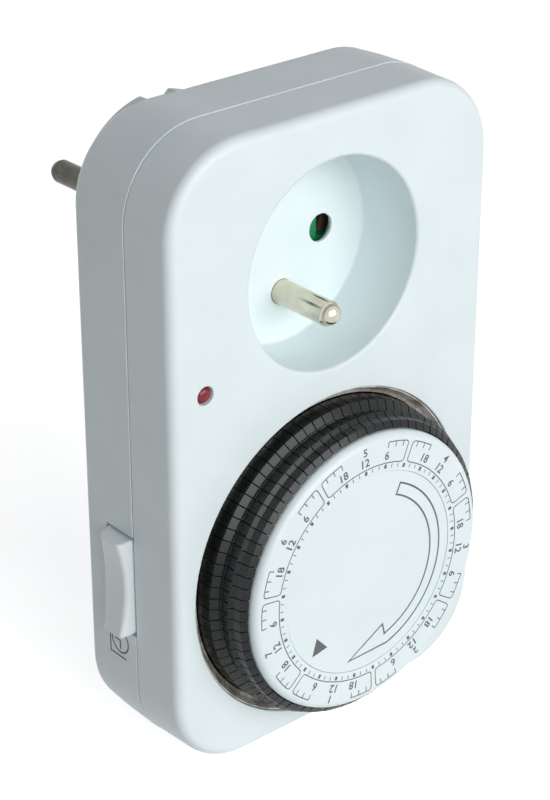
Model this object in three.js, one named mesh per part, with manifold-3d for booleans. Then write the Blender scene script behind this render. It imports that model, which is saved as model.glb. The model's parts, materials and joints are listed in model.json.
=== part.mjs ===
// A plug-in timer switch: a socket outlet in front, a plug behind and a seven-day dial below them,
// whose ring of tappets switches the outlet. Millimetres, +Z up, the front faces -Y, the wall is at
// +Y, and the origin is the middle of the plug's end face, between its two pins.
import * as THREE from 'three';
import { mergeVertices } from 'three/addons/utils/BufferGeometryUtils.js';
import Module from 'manifold-3d';

const wasm = await Module();
wasm.setup();

// Sizes of the case, which is drawn round the outlet's well and the dial's opening
const well = { radius: 20, depth: 14.7, floor: 2.3, wall: 1.8, holeRadius: 2.75 };
const opening = { radius: 33, collar: 1.6, depth: 6 };
const margin = { top: 9.6, between: 5.6, bottom: 3, side: 5 };
const caseDepth = 27;
const plugDepth = 25;
const cornerRadius = 16.5;
const wall = 2.2;
const frontFillet = 2.1;
const backFillet = 3;
const seamDepth = 11.7;

// Fits and shares that many pieces use
const seat = 0.25;
const running = 0.3;
const seamGap = 0.2;
const overrun = 1;
const halfShare = 0.5;

// Planes and axes that follow from the sizes above
const dialDrop = well.radius + margin.between + opening.radius;
const caseTopRise = well.radius + margin.top;
const caseHeight = caseTopRise + dialDrop + opening.radius + margin.bottom;
const caseWidth = (opening.radius + margin.side) * 2;
const frontY = -plugDepth - caseDepth;
const backY = -plugDepth;
const seamY = frontY + seamDepth;
const innerFrontY = frontY + wall;
const innerBackY = backY - wall;
const topZ = caseTopRise;
const bottomZ = topZ - caseHeight;
const middleZ = (topZ + bottomZ) * halfShare;
const sideX = caseWidth * halfShare;
const innerSideX = sideX - wall;
const dialZ = -dialDrop;
const cornerX = sideX - cornerRadius;

// The socket outlet and the plug share one layout of pins
const pins = { offset: 9.5, earthDrop: 10, radius: 2.4, length: 19, tipRound: 1.4, guide: 0.2 };
const boss = { radius: 19, wall: 2, plate: 2.5, chamfer: 1, grooveWidth: 6, grooveDepth: 1 };
const collar = { radius: 3.9, thickness: 2.1, tailRadius: 2, tailEndDepth: 13.2 };
const carrier = { thickness: 4, clearance: 0.4, pillar: 2 };
const carrierPillars = [[0, 12.5], [11.5, -9], [-12.5, 7]];
const sleeve = { inner: 2.5, outer: 3.5, backDepth: 17.5, slit: 0.8, bore: 3.8 };
const holder = { backDepth: 19.2, clearance: 0.6, railIn: 3.9, railOut: 6.5, railReach: 15 };
const earth = { proud: 0.3, collarRadius: 3.2, collarDepth: 1.5, tailBackDepth: 22.5, mouth: 3 };
const shutterSize = {
  thickness: 1.5, half: 3.6, edge: 1.1, window: 6.4, travel: 3.9, end: 3.6, farEnd: 1,
};
const shutterLeaf = { stopGap: 0.6, stopThick: 1.2, thickness: 0.25, height: 1.1, folds: 6, sway: 2 };
const wellFloorY = frontY + well.depth;
const wellBackY = wellFloorY + well.floor;
const bossInner = boss.radius - boss.wall;
const collarY = -boss.plate - seat;
const carrierY = collarY - collar.thickness - seat;
const railFrontY = wellBackY + seat;
const shutterBackY = railFrontY + shutterSize.thickness;
const holderFrontY = shutterBackY + running;
const holderRadius = bossInner - holder.clearance;

// The dial: everything here turns or stands about one axis, and fits inside the opening
const bezel = { gap: 0.12, edge: 0.3, width: 1.68, depth: 2.2, thick: 0.5 };
const guard = { wall: 1, flangeReach: 0.5, flangeThick: 1.2 };
const bezelOuter = opening.radius - bezel.gap;
const bezelInner = bezelOuter - bezel.width;
const guardInner = bezelInner;
const guardOuter = guardInner + guard.wall;
const days = 7;
const tappetsPerDay = 12;
const tappetCount = days * tappetsPerDay;
const singleDay = 5;
const dayEdgeAngle = 22;
const tappet = {
  beadIn: 0.4, topIn: 0.85, waistIn: 1.3, deep: 2.8, gap: 0.32, topProud: 8.54, beadProud: 6.7,
  beadBottom: 6, waistBottom: 2, footTop: 1.1, backDepth: 8, travel: 3, carrier: 0.7,
};
const footRadius = guardInner - running;
const tappetInner = footRadius - tappet.deep;
const scale = { width: 7.35, face: 10.3, back: 8.6, round: 1 };
const scaleOuter = tappetInner - running;
const scaleInner = scaleOuter - scale.width;
const disc = { gap: 0.2, face: 10.2, bossRadius: 5, bossDepth: 3.6, bore: 2.7 };
const drum = { gap: 0.4, rim: 2.1, web: 1.5, webDepth: 9, hubRadius: 6.5, hubRise: 5 };
const post = { radius: 3.4, tip: 2.45, shoulder: 5.6, flange: 4.2, flangeThick: 1.5, play: 0.2 };

// Gears: teeth, module and where each layer lies behind the drum
const ringTeeth = 60;
const ringPitchShare = 13 / 22;
const wheelModuleShare = 12 / 13;
const ringGear = { teeth: ringTeeth, module: opening.radius * ringPitchShare * 2 / ringTeeth };
const ringPinion = { teeth: 10, module: ringGear.module };
const wheelGear = { teeth: 30, module: ringGear.module * wheelModuleShare };
const wheelPinion = { teeth: 10, module: wheelGear.module };
const gearLayer = { drum: 2.5, wheel: 1.4, step: 0.5, inset: 0.3 };
const toothShares = { tip: 0.13, root: 0.29, above: 0.8, below: 1.15 };
const secondAngle = -20;
const firstTurn = -124;
const motorTurn = 180;
const axle = { radius: 0.9, play: 0.1 };

// Movement plate, motor, trip lever and switch
const plate = {
  thickness: 1.2, sideGap: 2.2, rise: 12.5, lowGap: 2.3, notchSide: 1.1, notchTop: 2.2, hole: 3.9,
  upperIn: 5.6, lowerIn: 3.1, fixingRise: 9, lowerAbove: 5, pegX: 9,
};
const plateLeftShare = 4 / 11;
const standoff = { radius: 2.5, bore: 1.1, peg: 1 };
const motor = {
  reach: 0.5, depth: 7, wall: 1, coilClear: 0.3, winding: 4, coilGap: 0.5, air: 1.2, shaft: 0.8,
};
const leverArmShare = 0.5;
const lever = {
  width: 5, thick: 1.6, nose: 3, hub: 1.9, pin: 0.8, sink: 0.3, end: 2.2,
  pusherWide: 2, earThick: 1, earHalf: 2.4, pinEnd: 0.4,
};
const strip = { thick: 0.7, width: 4 };
const relay = {
  sideGap: 4.8, right: 11, half: 2.3, top: 3.75, pedestal: 1.8, blade: 0.4, lap: 0.5, button: 1.4,
  rise: 0.4, postGap: 0.55,
};

// Rocker, lamp and screws
const rocker = {
  lift: 1.6, half: 9.95, play: 0.6, depth: 7.6, faceDepth: 4.9, proud: 3.3, dip: 1.7, reachIn: 4.5,
  pivotIn: 3.6, pin: 1, bore: 1.15, nose: 1.2, faceSteps: 10, bracket: 2.2,
};
const detent = { thick: 0.3, bow: 0.5, reach: 11, front: 2.2, width: 3, post: 1, side: 0.8 };
const lamp = {
  sideIn: 8, drop: 16, hole: 1.75, lens: 1.6, flange: 2.7, flangeThick: 1, tube: 3, tubeWall: 0.9,
  tubeLong: 6, sunk: 0.4, glass: 2.2, glassLong: 8, resistor: 1.1, resistorLong: 6.5,
};
const screw = {
  inset: 7.4, shank: 1.4, head: 2.8, headThick: 2, sink: 4, bore: 1.7, post: 4.2, pilot: 1.6, stem: 3.2,
  length: 19.4, recess: 0.8, recessDepth: 1, plateHead: 2.1, plateHeadThick: 1.2, plateLong: 5,
};
const lip = { length: 1.6, outside: 1, gap: 0.2 };

// Places of the rocker, the lamp and the switch, from the case's sides and the dial's axis
const rockerDrop = dialDrop - rocker.lift;
const rockerInnerX = -sideX + rocker.reachIn;
const lampX = -sideX + lamp.sideIn;
const lampZ = -lamp.drop;
const relayLeft = innerSideX - relay.sideGap;

// Facets of the round surfaces
const cornerSteps = 7;
const filletSteps = 3;
const largeSides = 48;
const middleSides = 20;
const smallSides = 12;

const radians = THREE.MathUtils.degToRad;

// Flips a closed geometry whose faces point inwards
function facingOut(geometry) {
  const place = geometry.getAttribute('position');
  const index = geometry.getIndex().array;
  const corners = [new THREE.Vector3(), new THREE.Vector3(), new THREE.Vector3()];
  let volume = 0;
  for (let start = 0; start < index.length; start += 3) {
    corners.forEach((corner, turn) => corner.fromBufferAttribute(place, index[start + turn]));
    volume += corners[0].dot(corners[1].cross(corners[2]));
  }
  if (volume < 0) {
    for (let start = 0; start < index.length; start += 3) {
      [index[start], index[start + 1]] = [index[start + 1], index[start]];
    }
  }
  return geometry;
}

// Turns a closed three.js geometry into a solid that can be joined and cut
function solid(geometry) {
  const bare = geometry.clone();
  bare.deleteAttribute('normal');
  bare.deleteAttribute('uv');
  const merged = facingOut(mergeVertices(bare));
  return new wasm.Manifold(new wasm.Mesh({
    numProp: 3,
    vertProperties: new Float32Array(merged.getAttribute('position').array),
    triVerts: new Uint32Array(merged.getIndex().array),
  }));
}

// A solid between two depths, from a shape whose x is X and whose y is Z
function prismY(shape, nearY, farY) {
  const geometry = new THREE.ExtrudeGeometry(shape, { depth: farY - nearY, bevelEnabled: false });
  geometry.rotateX(Math.PI / 2);
  geometry.translate(0, farY, 0);
  return solid(geometry);
}

// A solid of revolution about the Y axis from [radius, y] points
function latheY(profile, sides) {
  const points = profile.map(([radius, y]) => new THREE.Vector2(radius, y));
  return solid(new THREE.LatheGeometry(points, sides));
}

// A round rod along Y
function rodY(radius, nearY, farY, x = 0, z = 0, sides = middleSides) {
  const geometry = new THREE.CylinderGeometry(radius, radius, farY - nearY, sides);
  geometry.translate(x, (nearY + farY) * halfShare, z);
  return solid(geometry);
}

// A thin rod along Y, with fewer facets
function thinY(radius, nearY, farY, x = 0, z = 0) {
  return rodY(radius, nearY, farY, x, z, smallSides);
}

// A round rod along Z
function rodZ(radius, lowZ, highZ, x, y, sides = smallSides) {
  const geometry = new THREE.CylinderGeometry(radius, radius, highZ - lowZ, sides);
  geometry.rotateX(Math.PI / 2);
  geometry.translate(x, y, (lowZ + highZ) * halfShare);
  return solid(geometry);
}

// A tube along Y
function tubeY(outer, inner, nearY, farY, x = 0, z = 0, sides = middleSides) {
  const bore = rodY(inner, nearY - overrun, farY + overrun, x, z, sides);
  return rodY(outer, nearY, farY, x, z, sides).subtract(bore);
}

// A block between two corners
function block([lowX, highX], [nearY, farY], [lowZ, highZ]) {
  const geometry = new THREE.BoxGeometry(highX - lowX, farY - nearY, highZ - lowZ);
  const middle = [lowX + highX, nearY + farY, lowZ + highZ].map((sum) => sum * halfShare);
  geometry.translate(...middle);
  return solid(geometry);
}

// A closed loop of points to one side of a line and back along the other
function ribbon(line, thickness) {
  const back = line.map(([x, z]) => [x - thickness, z]).reverse();
  const loop = [...line, ...back];
  return new THREE.Shape(loop.map(([x, z]) => new THREE.Vector2(x, z)));
}

// The case's outline at one depth, moved in by an inset
function caseOutline(inset) {
  const radius = cornerRadius - inset;
  const reachZ = caseHeight * halfShare - cornerRadius;
  const outline = [];
  for (let corner = 0; corner < 4; corner++) {
    const signX = corner === 0 || corner === 3 ? 1 : -1;
    const signZ = corner < 2 ? 1 : -1;
    for (let step = 0; step <= cornerSteps; step++) {
      const angle = (corner + step / cornerSteps) * Math.PI / 2;
      const x = signX * cornerX + radius * Math.cos(angle);
      const z = middleZ + signZ * reachZ + radius * Math.sin(angle);
      outline.push([x, z]);
    }
  }
  return outline;
}

// A block with the case's outline, from [depth, inset] sections
function caseBlock(sections) {
  const rings = sections.map(([y, inset]) => caseOutline(inset).map(([x, z]) => [x, y, z]));
  const count = rings[0].length;
  const last = (rings.length - 1) * count;
  const index = [];
  for (let ring = 0; ring < rings.length - 1; ring++) {
    for (let step = 0; step < count; step++) {
      const here = ring * count + step;
      const next = ring * count + (step + 1) % count;
      index.push(here, next, next + count, here, next + count, here + count);
    }
  }
  for (let step = 1; step < count - 1; step++) {
    index.push(0, step + 1, step, last, last + step, last + step + 1);
  }
  const geometry = new THREE.BufferGeometry();
  geometry.setAttribute('position', new THREE.Float32BufferAttribute(rings.flat(2), 3));
  geometry.setIndex(index);
  return solid(geometry);
}

// Sections of a rounded edge: from the flat face at faceY to the full outline
function filletSections(faceY, fillet, inset, direction) {
  const sections = [];
  for (let step = 0; step <= filletSteps; step++) {
    const angle = step / filletSteps * Math.PI / 2;
    const y = faceY + direction * fillet * (1 - Math.cos(angle));
    sections.push([y, inset + fillet * (1 - Math.sin(angle))]);
  }
  return sections;
}

// The trip lever's nose lies behind the tappets' ring where the dial's pointer aims
const pointerDay = 4;
const pointerAngle = dayEdgeAngle + pointerDay * 360 / days;
const leverRadius = (tappetInner + footRadius) * halfShare;
const leverNoseX = leverRadius * Math.sin(radians(pointerAngle));
const leverZ = dialZ + leverRadius * Math.cos(radians(pointerAngle));

// The four corner screws' places: the lower ones stand clear of the switch at the lever's height
const screwX = cornerX + screw.inset;
const screwHighZ = topZ - cornerRadius + screw.inset;
const screwLowZ = leverZ - relay.half - relay.postGap - screw.post;
const screwPlaces = [
  [-screwX, screwHighZ], [screwX, screwHighZ], [-screwX, screwLowZ], [screwX, screwLowZ],
];

// The movement plate's right edge, its notch round a corner screw, and what it is fixed to
const plateRightX = innerSideX - plate.sideGap;
const notchX = screwX - screw.post - plate.notchSide;
const notchZ = screwLowZ + screw.post + plate.notchTop;
const plateFixings = [
  [plateRightX - plate.upperIn, dialZ + plate.fixingRise],
  [plateRightX - plate.lowerIn, notchZ + plate.lowerAbove],
];
const platePeg = [plate.pegX, dialZ + plate.fixingRise];

function frontCover() {
  const rimY = seamY - seamGap * halfShare;
  const innerFillet = frontFillet * halfShare;
  let body = caseBlock([...filletSections(frontY, frontFillet, 0, 1), [rimY, 0]]);
  body = body.subtract(caseBlock([
    ...filletSections(innerFrontY, innerFillet, wall, 1), [seamY + overrun, wall],
  ]));
  body = body.subtract(caseBlock([
    [rimY - lip.length - lip.gap, lip.outside], [seamY + overrun, lip.outside],
  ]));
  const rootY = frontY + wall * halfShare;
  const collarOut = opening.radius + opening.collar;
  const collarRing = rodY(collarOut, rootY, frontY + opening.depth, 0, dialZ, largeSides);
  body = body.add(collarRing.intersect(caseBlock([[frontY, lip.outside], [seamY, lip.outside]])));
  body = body.add(rodY(well.radius + well.wall, rootY, wellBackY, 0, 0, largeSides));
  const tubeEndY = innerFrontY + lamp.tubeLong;
  body = body.add(rodY(lamp.tube + lamp.tubeWall, rootY, tubeEndY, lampX, lampZ));
  for (const [x, z] of screwPlaces) {
    const stemEnd = seamY - lip.length - lip.gap;
    body = body.add(thinY(screw.stem, rootY, stemEnd, x, z));
    body = body.subtract(thinY(screw.pilot, innerFrontY + overrun, stemEnd + overrun, x, z));
  }
  body = body.subtract(rodY(opening.radius, frontY - overrun, seamY, 0, dialZ, largeSides));
  body = body.subtract(rodY(well.radius, frontY - overrun, wellFloorY, 0, 0, largeSides));
  for (const side of [-1, 1]) {
    const x = side * pins.offset;
    body = body.subtract(rodY(well.holeRadius, wellFloorY - overrun, wellBackY + overrun, x, 0));
  }
  const earthHole = pins.radius + pins.guide;
  const earthZ = -pins.earthDrop;
  body = body.subtract(thinY(earthHole, wellFloorY - overrun, wellBackY + overrun, 0, earthZ));
  body = body.subtract(rodY(lamp.hole, frontY - overrun, innerFrontY + overrun, lampX, lampZ));
  body = body.subtract(rodY(lamp.tube, innerFrontY, tubeEndY + overrun, lampX, lampZ));
  return body.add(shutterStop());
}

// The stop behind the well's floor that the shutter's leaf spring pushes against
function shutterStop() {
  const [lowX] = shutterSpan();
  const stopX = lowX - shutterSize.travel - shutterLeaf.stopGap;
  const rootY = wellBackY - well.floor * halfShare;
  const outX = stopX - shutterLeaf.stopThick;
  const spanZ = [-shutterSize.half, shutterSize.half];
  return block([outX, stopX], [rootY, shutterBackY], spanZ).add(
    block([outX, lowX], [rootY, wellBackY], spanZ),
  );
}

function rearCover() {
  const rimY = seamY + seamGap * halfShare;
  const back = filletSections(backY, backFillet, 0, -1).reverse();
  const innerBack = filletSections(innerBackY, backFillet * halfShare, wall, -1).reverse();
  const lipFrontY = seamY - lip.length;
  const lipOuter = lip.outside + lip.gap;
  let body = caseBlock([[rimY, 0], ...back]);
  body = body.add(caseBlock([[lipFrontY, lipOuter], [rimY + overrun, lipOuter]]));
  const rootY = backY - wall * halfShare;
  body = body.add(latheY([
    [0, rootY], [boss.radius, rootY], [boss.radius, -boss.chamfer], [boss.radius - boss.chamfer, 0],
    [0, 0],
  ], largeSides));
  body = body.subtract(caseBlock([[lipFrontY - overrun, wall], ...innerBack]));
  body = body.subtract(rodY(bossInner, innerBackY - overrun, -boss.plate, 0, 0, largeSides));
  const pinHole = pins.radius + pins.guide;
  for (const side of [-1, 1]) {
    body = body.subtract(rodY(pinHole, -boss.plate - overrun, overrun, side * pins.offset));
    const grooveZ = side * boss.radius;
    body = body.subtract(block(
      [-boss.grooveWidth * halfShare, boss.grooveWidth * halfShare],
      [backY + overrun, overrun],
      [grooveZ - boss.grooveDepth, grooveZ + boss.grooveDepth],
    ));
  }
  body = body.subtract(rodY(earth.mouth, -boss.plate - overrun, overrun, 0, -pins.earthDrop));
  for (const [x, z] of screwPlaces) {
    body = body.add(thinY(screw.post, rimY, backY - overrun, x, z));
    body = body.subtract(thinY(screw.head + seat, backY - screw.sink, backY + overrun, x, z));
    body = body.subtract(thinY(screw.bore, rimY - overrun, backY, x, z));
  }
  for (const [x, z] of plateFixings) {
    body = body.add(thinY(standoff.radius, plateBackY() + seat, backY - overrun, x, z));
    body = body.subtract(thinY(standoff.bore, plateBackY(), innerBackY, x, z));
  }
  body = body.add(thinY(standoff.radius, plateBackY() + seat, backY - overrun, ...platePeg));
  body = body.add(thinY(standoff.peg, plateFrontY, backY - overrun, ...platePeg));
  return body.add(rockerBracket()).add(detentPosts()).subtract(rockerSlot());
}

// The slot in the left wall that the rocker looks out of, open at the seam
function rockerSlot() {
  const half = rocker.half + rocker.play;
  return block(
    [-sideX - overrun, -innerSideX + overrun],
    [seamY - lip.length - overrun, seamY + running + rocker.depth + running],
    [-rockerDrop - half, -rockerDrop + half],
  );
}

// The block on the left wall that holds the rocker's pin
function rockerBracket() {
  const pivotX = -sideX + rocker.pivotIn;
  const slotBackY = seamY + running + rocker.depth + running;
  const body = block(
    [-innerSideX - overrun * halfShare, pivotX + rocker.bracket],
    [slotBackY, innerBackY + overrun * halfShare],
    [-rockerDrop - rocker.bracket, -rockerDrop + rocker.bracket],
  );
  return body.subtract(thinY(rocker.bore, slotBackY - overrun, innerBackY, pivotX, -rockerDrop));
}

// Two posts that hold the ends of the rocker's leaf spring
function detentPosts() {
  const x = detentX();
  const nearY = seamY + detent.front;
  const posts = [-1, 1].map((side) => {
    const inZ = -rockerDrop + side * (detent.reach + seat);
    const outZ = inZ + side * detent.post;
    return block(
      [x - detent.side, x + detent.side],
      [nearY, innerBackY + overrun * halfShare],
      [Math.min(inZ, outZ), Math.max(inZ, outZ)],
    );
  });
  return posts[0].add(posts[1]);
}

// The leaf spring's middle plane, just clear of the rocker's nose
function detentX() {
  return rockerInnerX + rocker.nose + running + detent.bow;
}

// The bright bezel: a funnel from the opening's edge down to the tappets' feet
function bezelRing() {
  const footY = frontY + bezel.depth;
  const endY = footY + bezel.thick;
  return latheY([
    [bezelInner, footY], [bezelOuter - bezel.edge, frontY], [bezelOuter, frontY],
    [bezelOuter, endY], [bezelInner, endY], [bezelInner, footY],
  ], largeSides);
}

// The black guard ring under the bezel, held by its flange behind the opening's collar
function guardRing() {
  const flangeRadius = opening.radius + guard.flangeReach;
  const flangeY = frontY + opening.depth + seat;
  const endY = flangeY + guard.flangeThick;
  const edgeY = frontY + bezel.depth + bezel.thick + seat;
  return latheY([
    [guardInner, edgeY], [guardOuter, edgeY], [guardOuter, flangeY], [flangeRadius, flangeY],
    [flangeRadius, endY], [guardInner, endY], [guardInner, edgeY],
  ], largeSides);
}

// One tappet at the top of the dial, tapering towards the axis
function tappetSolid() {
  const atY = (proud) => frontY - proud;
  const backEdge = frontY + tappet.backDepth;
  const waist = footRadius - tappet.waistIn;
  const profile = new THREE.Shape([
    [tappetInner, backEdge], [footRadius, backEdge], [footRadius, atY(tappet.footTop)],
    [waist, atY(tappet.waistBottom)], [waist, atY(tappet.beadBottom)],
    [footRadius - tappet.beadIn, atY(tappet.beadProud)],
    [footRadius - tappet.topIn, atY(tappet.topProud)], [tappetInner, atY(tappet.topProud)],
  ].map(([radius, y]) => new THREE.Vector2(radius, y)));
  const geometry = new THREE.ExtrudeGeometry(profile, { depth: 1, bevelEnabled: false });
  const place = geometry.getAttribute('position');
  for (let corner = 0; corner < place.count; corner++) {
    const radius = place.getX(corner);
    const side = place.getZ(corner) > halfShare ? 1 : -1;
    const half = radius * Math.tan(Math.PI / tappetCount) - tappet.gap * halfShare;
    place.setXYZ(corner, side * half, place.getY(corner), radius);
  }
  return solid(geometry);
}

// Clockwise angle, seen from the front, of a tappet counted from the first day's edge
function tappetAngle(number) {
  return dayEdgeAngle + (number + halfShare) * 360 / tappetCount;
}

// The six days of tappets that are moulded on one carrier, without the day of single tappets
function tappetRing() {
  const stepAngle = 360 / tappetCount;
  const firstAngle = tappetAngle((singleDay + 1) * tappetsPerDay);
  const ringSteps = tappetCount - tappetsPerDay - 1;
  const nearRadius = tappetInner / Math.cos(Math.PI / tappetCount);
  const near = [[tappetInner, 0]];
  for (let step = 0; step < ringSteps; step++) near.push([nearRadius, step + halfShare]);
  near.push([tappetInner, ringSteps]);
  const far = near.map(([radius, step]) => [tappetInner + tappet.carrier, step]).reverse();
  const outline = [...near, ...far].map(([radius, step]) => {
    const angle = radians(firstAngle + step * stepAngle);
    return new THREE.Vector2(radius * Math.sin(angle), radius * Math.cos(angle));
  });
  const backEdge = frontY + tappet.backDepth;
  let body = prismY(new THREE.Shape(outline), backEdge - tappet.travel, backEdge);
  const single = tappetSolid();
  for (let number = 0; number < tappetCount; number++) {
    const day = Math.floor(number / tappetsPerDay);
    if (day !== singleDay) body = body.add(single.rotate([0, tappetAngle(number), 0]));
  }
  return body;
}

function scaleRing() {
  const faceY = frontY - scale.face;
  const backPlane = frontY - scale.back;
  const profile = [[scaleInner, backPlane], [scaleOuter, backPlane]];
  for (let step = 0; step <= filletSteps; step++) {
    const angle = step / filletSteps * Math.PI / 2;
    const radius = scaleOuter - scale.round * (1 - Math.cos(angle));
    profile.push([radius, faceY + scale.round * (1 - Math.sin(angle))]);
  }
  profile.push([scaleInner, faceY], [scaleInner, backPlane]);
  return latheY(profile, largeSides);
}

function centreDisc() {
  const radius = scaleInner - disc.gap;
  const faceY = frontY - disc.face;
  const backPlane = frontY - scale.back;
  const bossEnd = backPlane + disc.bossDepth;
  const tipY = postTipY() - post.play;
  return latheY([
    [0, faceY], [radius, faceY], [radius, backPlane], [disc.bossRadius, backPlane],
    [disc.bossRadius, bossEnd], [disc.bore, bossEnd], [disc.bore, tipY], [0, tipY],
  ], largeSides);
}

// The front end of the fixed post, inside the centre disc's boss
function postTipY() {
  return frontY - scale.back + seat;
}

// The centre post carries the centre disc in front and turns in the drum's hub
function centrePost() {
  const tipY = postTipY();
  const flangeY = innerBackY - seat - post.flangeThick;
  return latheY([
    [0, tipY], [post.tip, tipY], [post.tip, tipY + post.shoulder], [post.radius, tipY + post.shoulder],
    [post.radius, flangeY], [post.flange, flangeY], [post.flange, innerBackY - seat],
    [0, innerBackY - seat],
  ], middleSides);
}

function pitchRadius(gear) {
  return gear.teeth * gear.module * halfShare;
}

// A gear's outline with one tooth centred on its phase angle
function gearShape(gear, phase) {
  const tip = pitchRadius(gear) + gear.module * toothShares.above;
  const root = pitchRadius(gear) - gear.module * toothShares.below;
  const step = 360 / gear.teeth;
  const outline = [];
  for (let tooth = 0; tooth < gear.teeth; tooth++) {
    const middle = phase + tooth * step;
    for (const [radius, share] of [
      [root, -toothShares.root], [tip, -toothShares.tip],
      [tip, toothShares.tip], [root, toothShares.root],
    ]) {
      const angle = radians(middle + share * step);
      outline.push(new THREE.Vector2(radius * Math.cos(angle), radius * Math.sin(angle)));
    }
  }
  return new THREE.Shape(outline);
}

// The phase that puts a gap of one gear at the tooth of the gear that it meets
function meshedPhase(gear, other, otherPhase, direction) {
  const otherPart = other.teeth * (direction - otherPhase) / 360;
  return direction + 180 - (halfShare - otherPart) * 360 / gear.teeth;
}

// Where each gear's axis stands, and the layers that the gears lie in
const centreDistance = pitchRadius(ringGear) + pitchRadius(ringPinion);
const wheelDistance = pitchRadius(wheelGear) + pitchRadius(wheelPinion);
const secondPlace = [
  centreDistance * Math.cos(radians(secondAngle)),
  dialZ + centreDistance * Math.sin(radians(secondAngle)),
];
const firstPlace = [
  secondPlace[0] + wheelDistance * Math.cos(radians(firstTurn)),
  secondPlace[1] + wheelDistance * Math.sin(radians(firstTurn)),
];
const motorPlace = [
  firstPlace[0] + wheelDistance * Math.cos(radians(motorTurn)),
  firstPlace[1] + wheelDistance * Math.sin(radians(motorTurn)),
];
const motorRadius = wheelDistance + motor.reach;
const coilOuter = motorRadius - motor.wall - motor.coilClear;
const coilInner = coilOuter - motor.winding;
const webBackY = frontY + drum.webDepth;
const drumGearBackY = webBackY + gearLayer.drum;
const upperLayerY = drumGearBackY + gearLayer.step;
const lowerLayerY = upperLayerY + gearLayer.wheel + gearLayer.step;
const plateFrontY = lowerLayerY + gearLayer.wheel + gearLayer.step;

function plateBackY() {
  return plateFrontY + plate.thickness;
}

// The drum: a cup that carries the scale ring and the tappets, with the ring gear behind its web
function dialDrum() {
  const rimFrontY = frontY - scale.back + seat;
  const webFrontY = webBackY - drum.web;
  const rimOuter = tappetInner - drum.gap;
  const rimInner = rimOuter - drum.rim;
  const hubBore = post.radius + post.play;
  const hubFrontY = webFrontY - drum.hubRise;
  const cup = latheY([
    [hubBore, webBackY], [hubBore, hubFrontY], [drum.hubRadius, hubFrontY],
    [drum.hubRadius, webFrontY], [rimInner, webFrontY], [rimInner, rimFrontY],
    [rimOuter, rimFrontY], [rimOuter, webBackY], [hubBore, webBackY],
  ], largeSides);
  const gear = prismY(gearShape(ringGear, secondAngle), webBackY - drum.web * halfShare, drumGearBackY);
  const bore = rodY(hubBore, webBackY - drum.web, drumGearBackY + overrun, 0, 0, largeSides);
  return cup.add(gear).subtract(bore);
}

// A wheel and its pinion on one hub, drawn about their own axis
function compoundWheel(pinionGear, pinionPhase, wheelPhase, pinionNearY, wheelNearY) {
  const wheelFarY = wheelNearY + gearLayer.wheel;
  const pinion = prismY(gearShape(pinionGear, pinionPhase), pinionNearY, wheelFarY);
  const wheel = prismY(gearShape(wheelGear, wheelPhase), wheelNearY, wheelFarY);
  const bore = thinY(axle.radius + axle.play, pinionNearY - overrun, wheelFarY + overrun);
  return pinion.add(wheel).subtract(bore);
}

const secondPinionPhase = meshedPhase(ringPinion, ringGear, secondAngle, secondAngle);
const secondWheelPhase = 0;
const firstPinionPhase = meshedPhase(wheelPinion, wheelGear, secondWheelPhase, firstTurn);
const firstWheelPhase = 0;
const rotorPhase = meshedPhase(wheelPinion, wheelGear, firstWheelPhase, motorTurn);

function secondWheel() {
  const pinionNearY = webBackY + gearLayer.inset;
  return compoundWheel(ringPinion, secondPinionPhase, secondWheelPhase, pinionNearY, upperLayerY);
}

function firstWheel() {
  return compoundWheel(wheelPinion, firstPinionPhase, firstWheelPhase, upperLayerY, lowerLayerY);
}

// The rotor: its magnet inside the coil, and its pinion in front of the movement plate
function rotorSolid() {
  const magnetNearY = plateBackY() + motor.coilGap + seat;
  const magnetFarY = plateBackY() + motor.depth - motor.wall - motor.coilGap;
  const pinion = prismY(gearShape(wheelPinion, rotorPhase), lowerLayerY, lowerLayerY + gearLayer.wheel);
  const shaft = thinY(motor.shaft, lowerLayerY - gearLayer.inset, plateBackY() + motor.depth);
  return pinion.add(shaft).add(rodY(coilInner - motor.air, magnetNearY, magnetFarY));
}

// The motor's steel cup, open towards the plate
function motorCup() {
  const nearY = plateBackY() + seat;
  const farY = nearY + motor.depth;
  const inside = rodY(motorRadius - motor.wall, nearY - overrun, farY - motor.wall);
  const bearing = thinY(motor.shaft + axle.play, farY - motor.wall - overrun, farY + overrun);
  return rodY(motorRadius, nearY, farY).subtract(inside).subtract(bearing);
}

function motorCoil() {
  const nearY = plateBackY() + seat + motor.coilGap;
  const farY = plateBackY() + motor.depth - motor.wall - motor.coilGap * halfShare;
  return tubeY(coilOuter, coilInner, nearY, farY);
}

function axleSolid(nearY) {
  return thinY(axle.radius, nearY, plateBackY());
}

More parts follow.
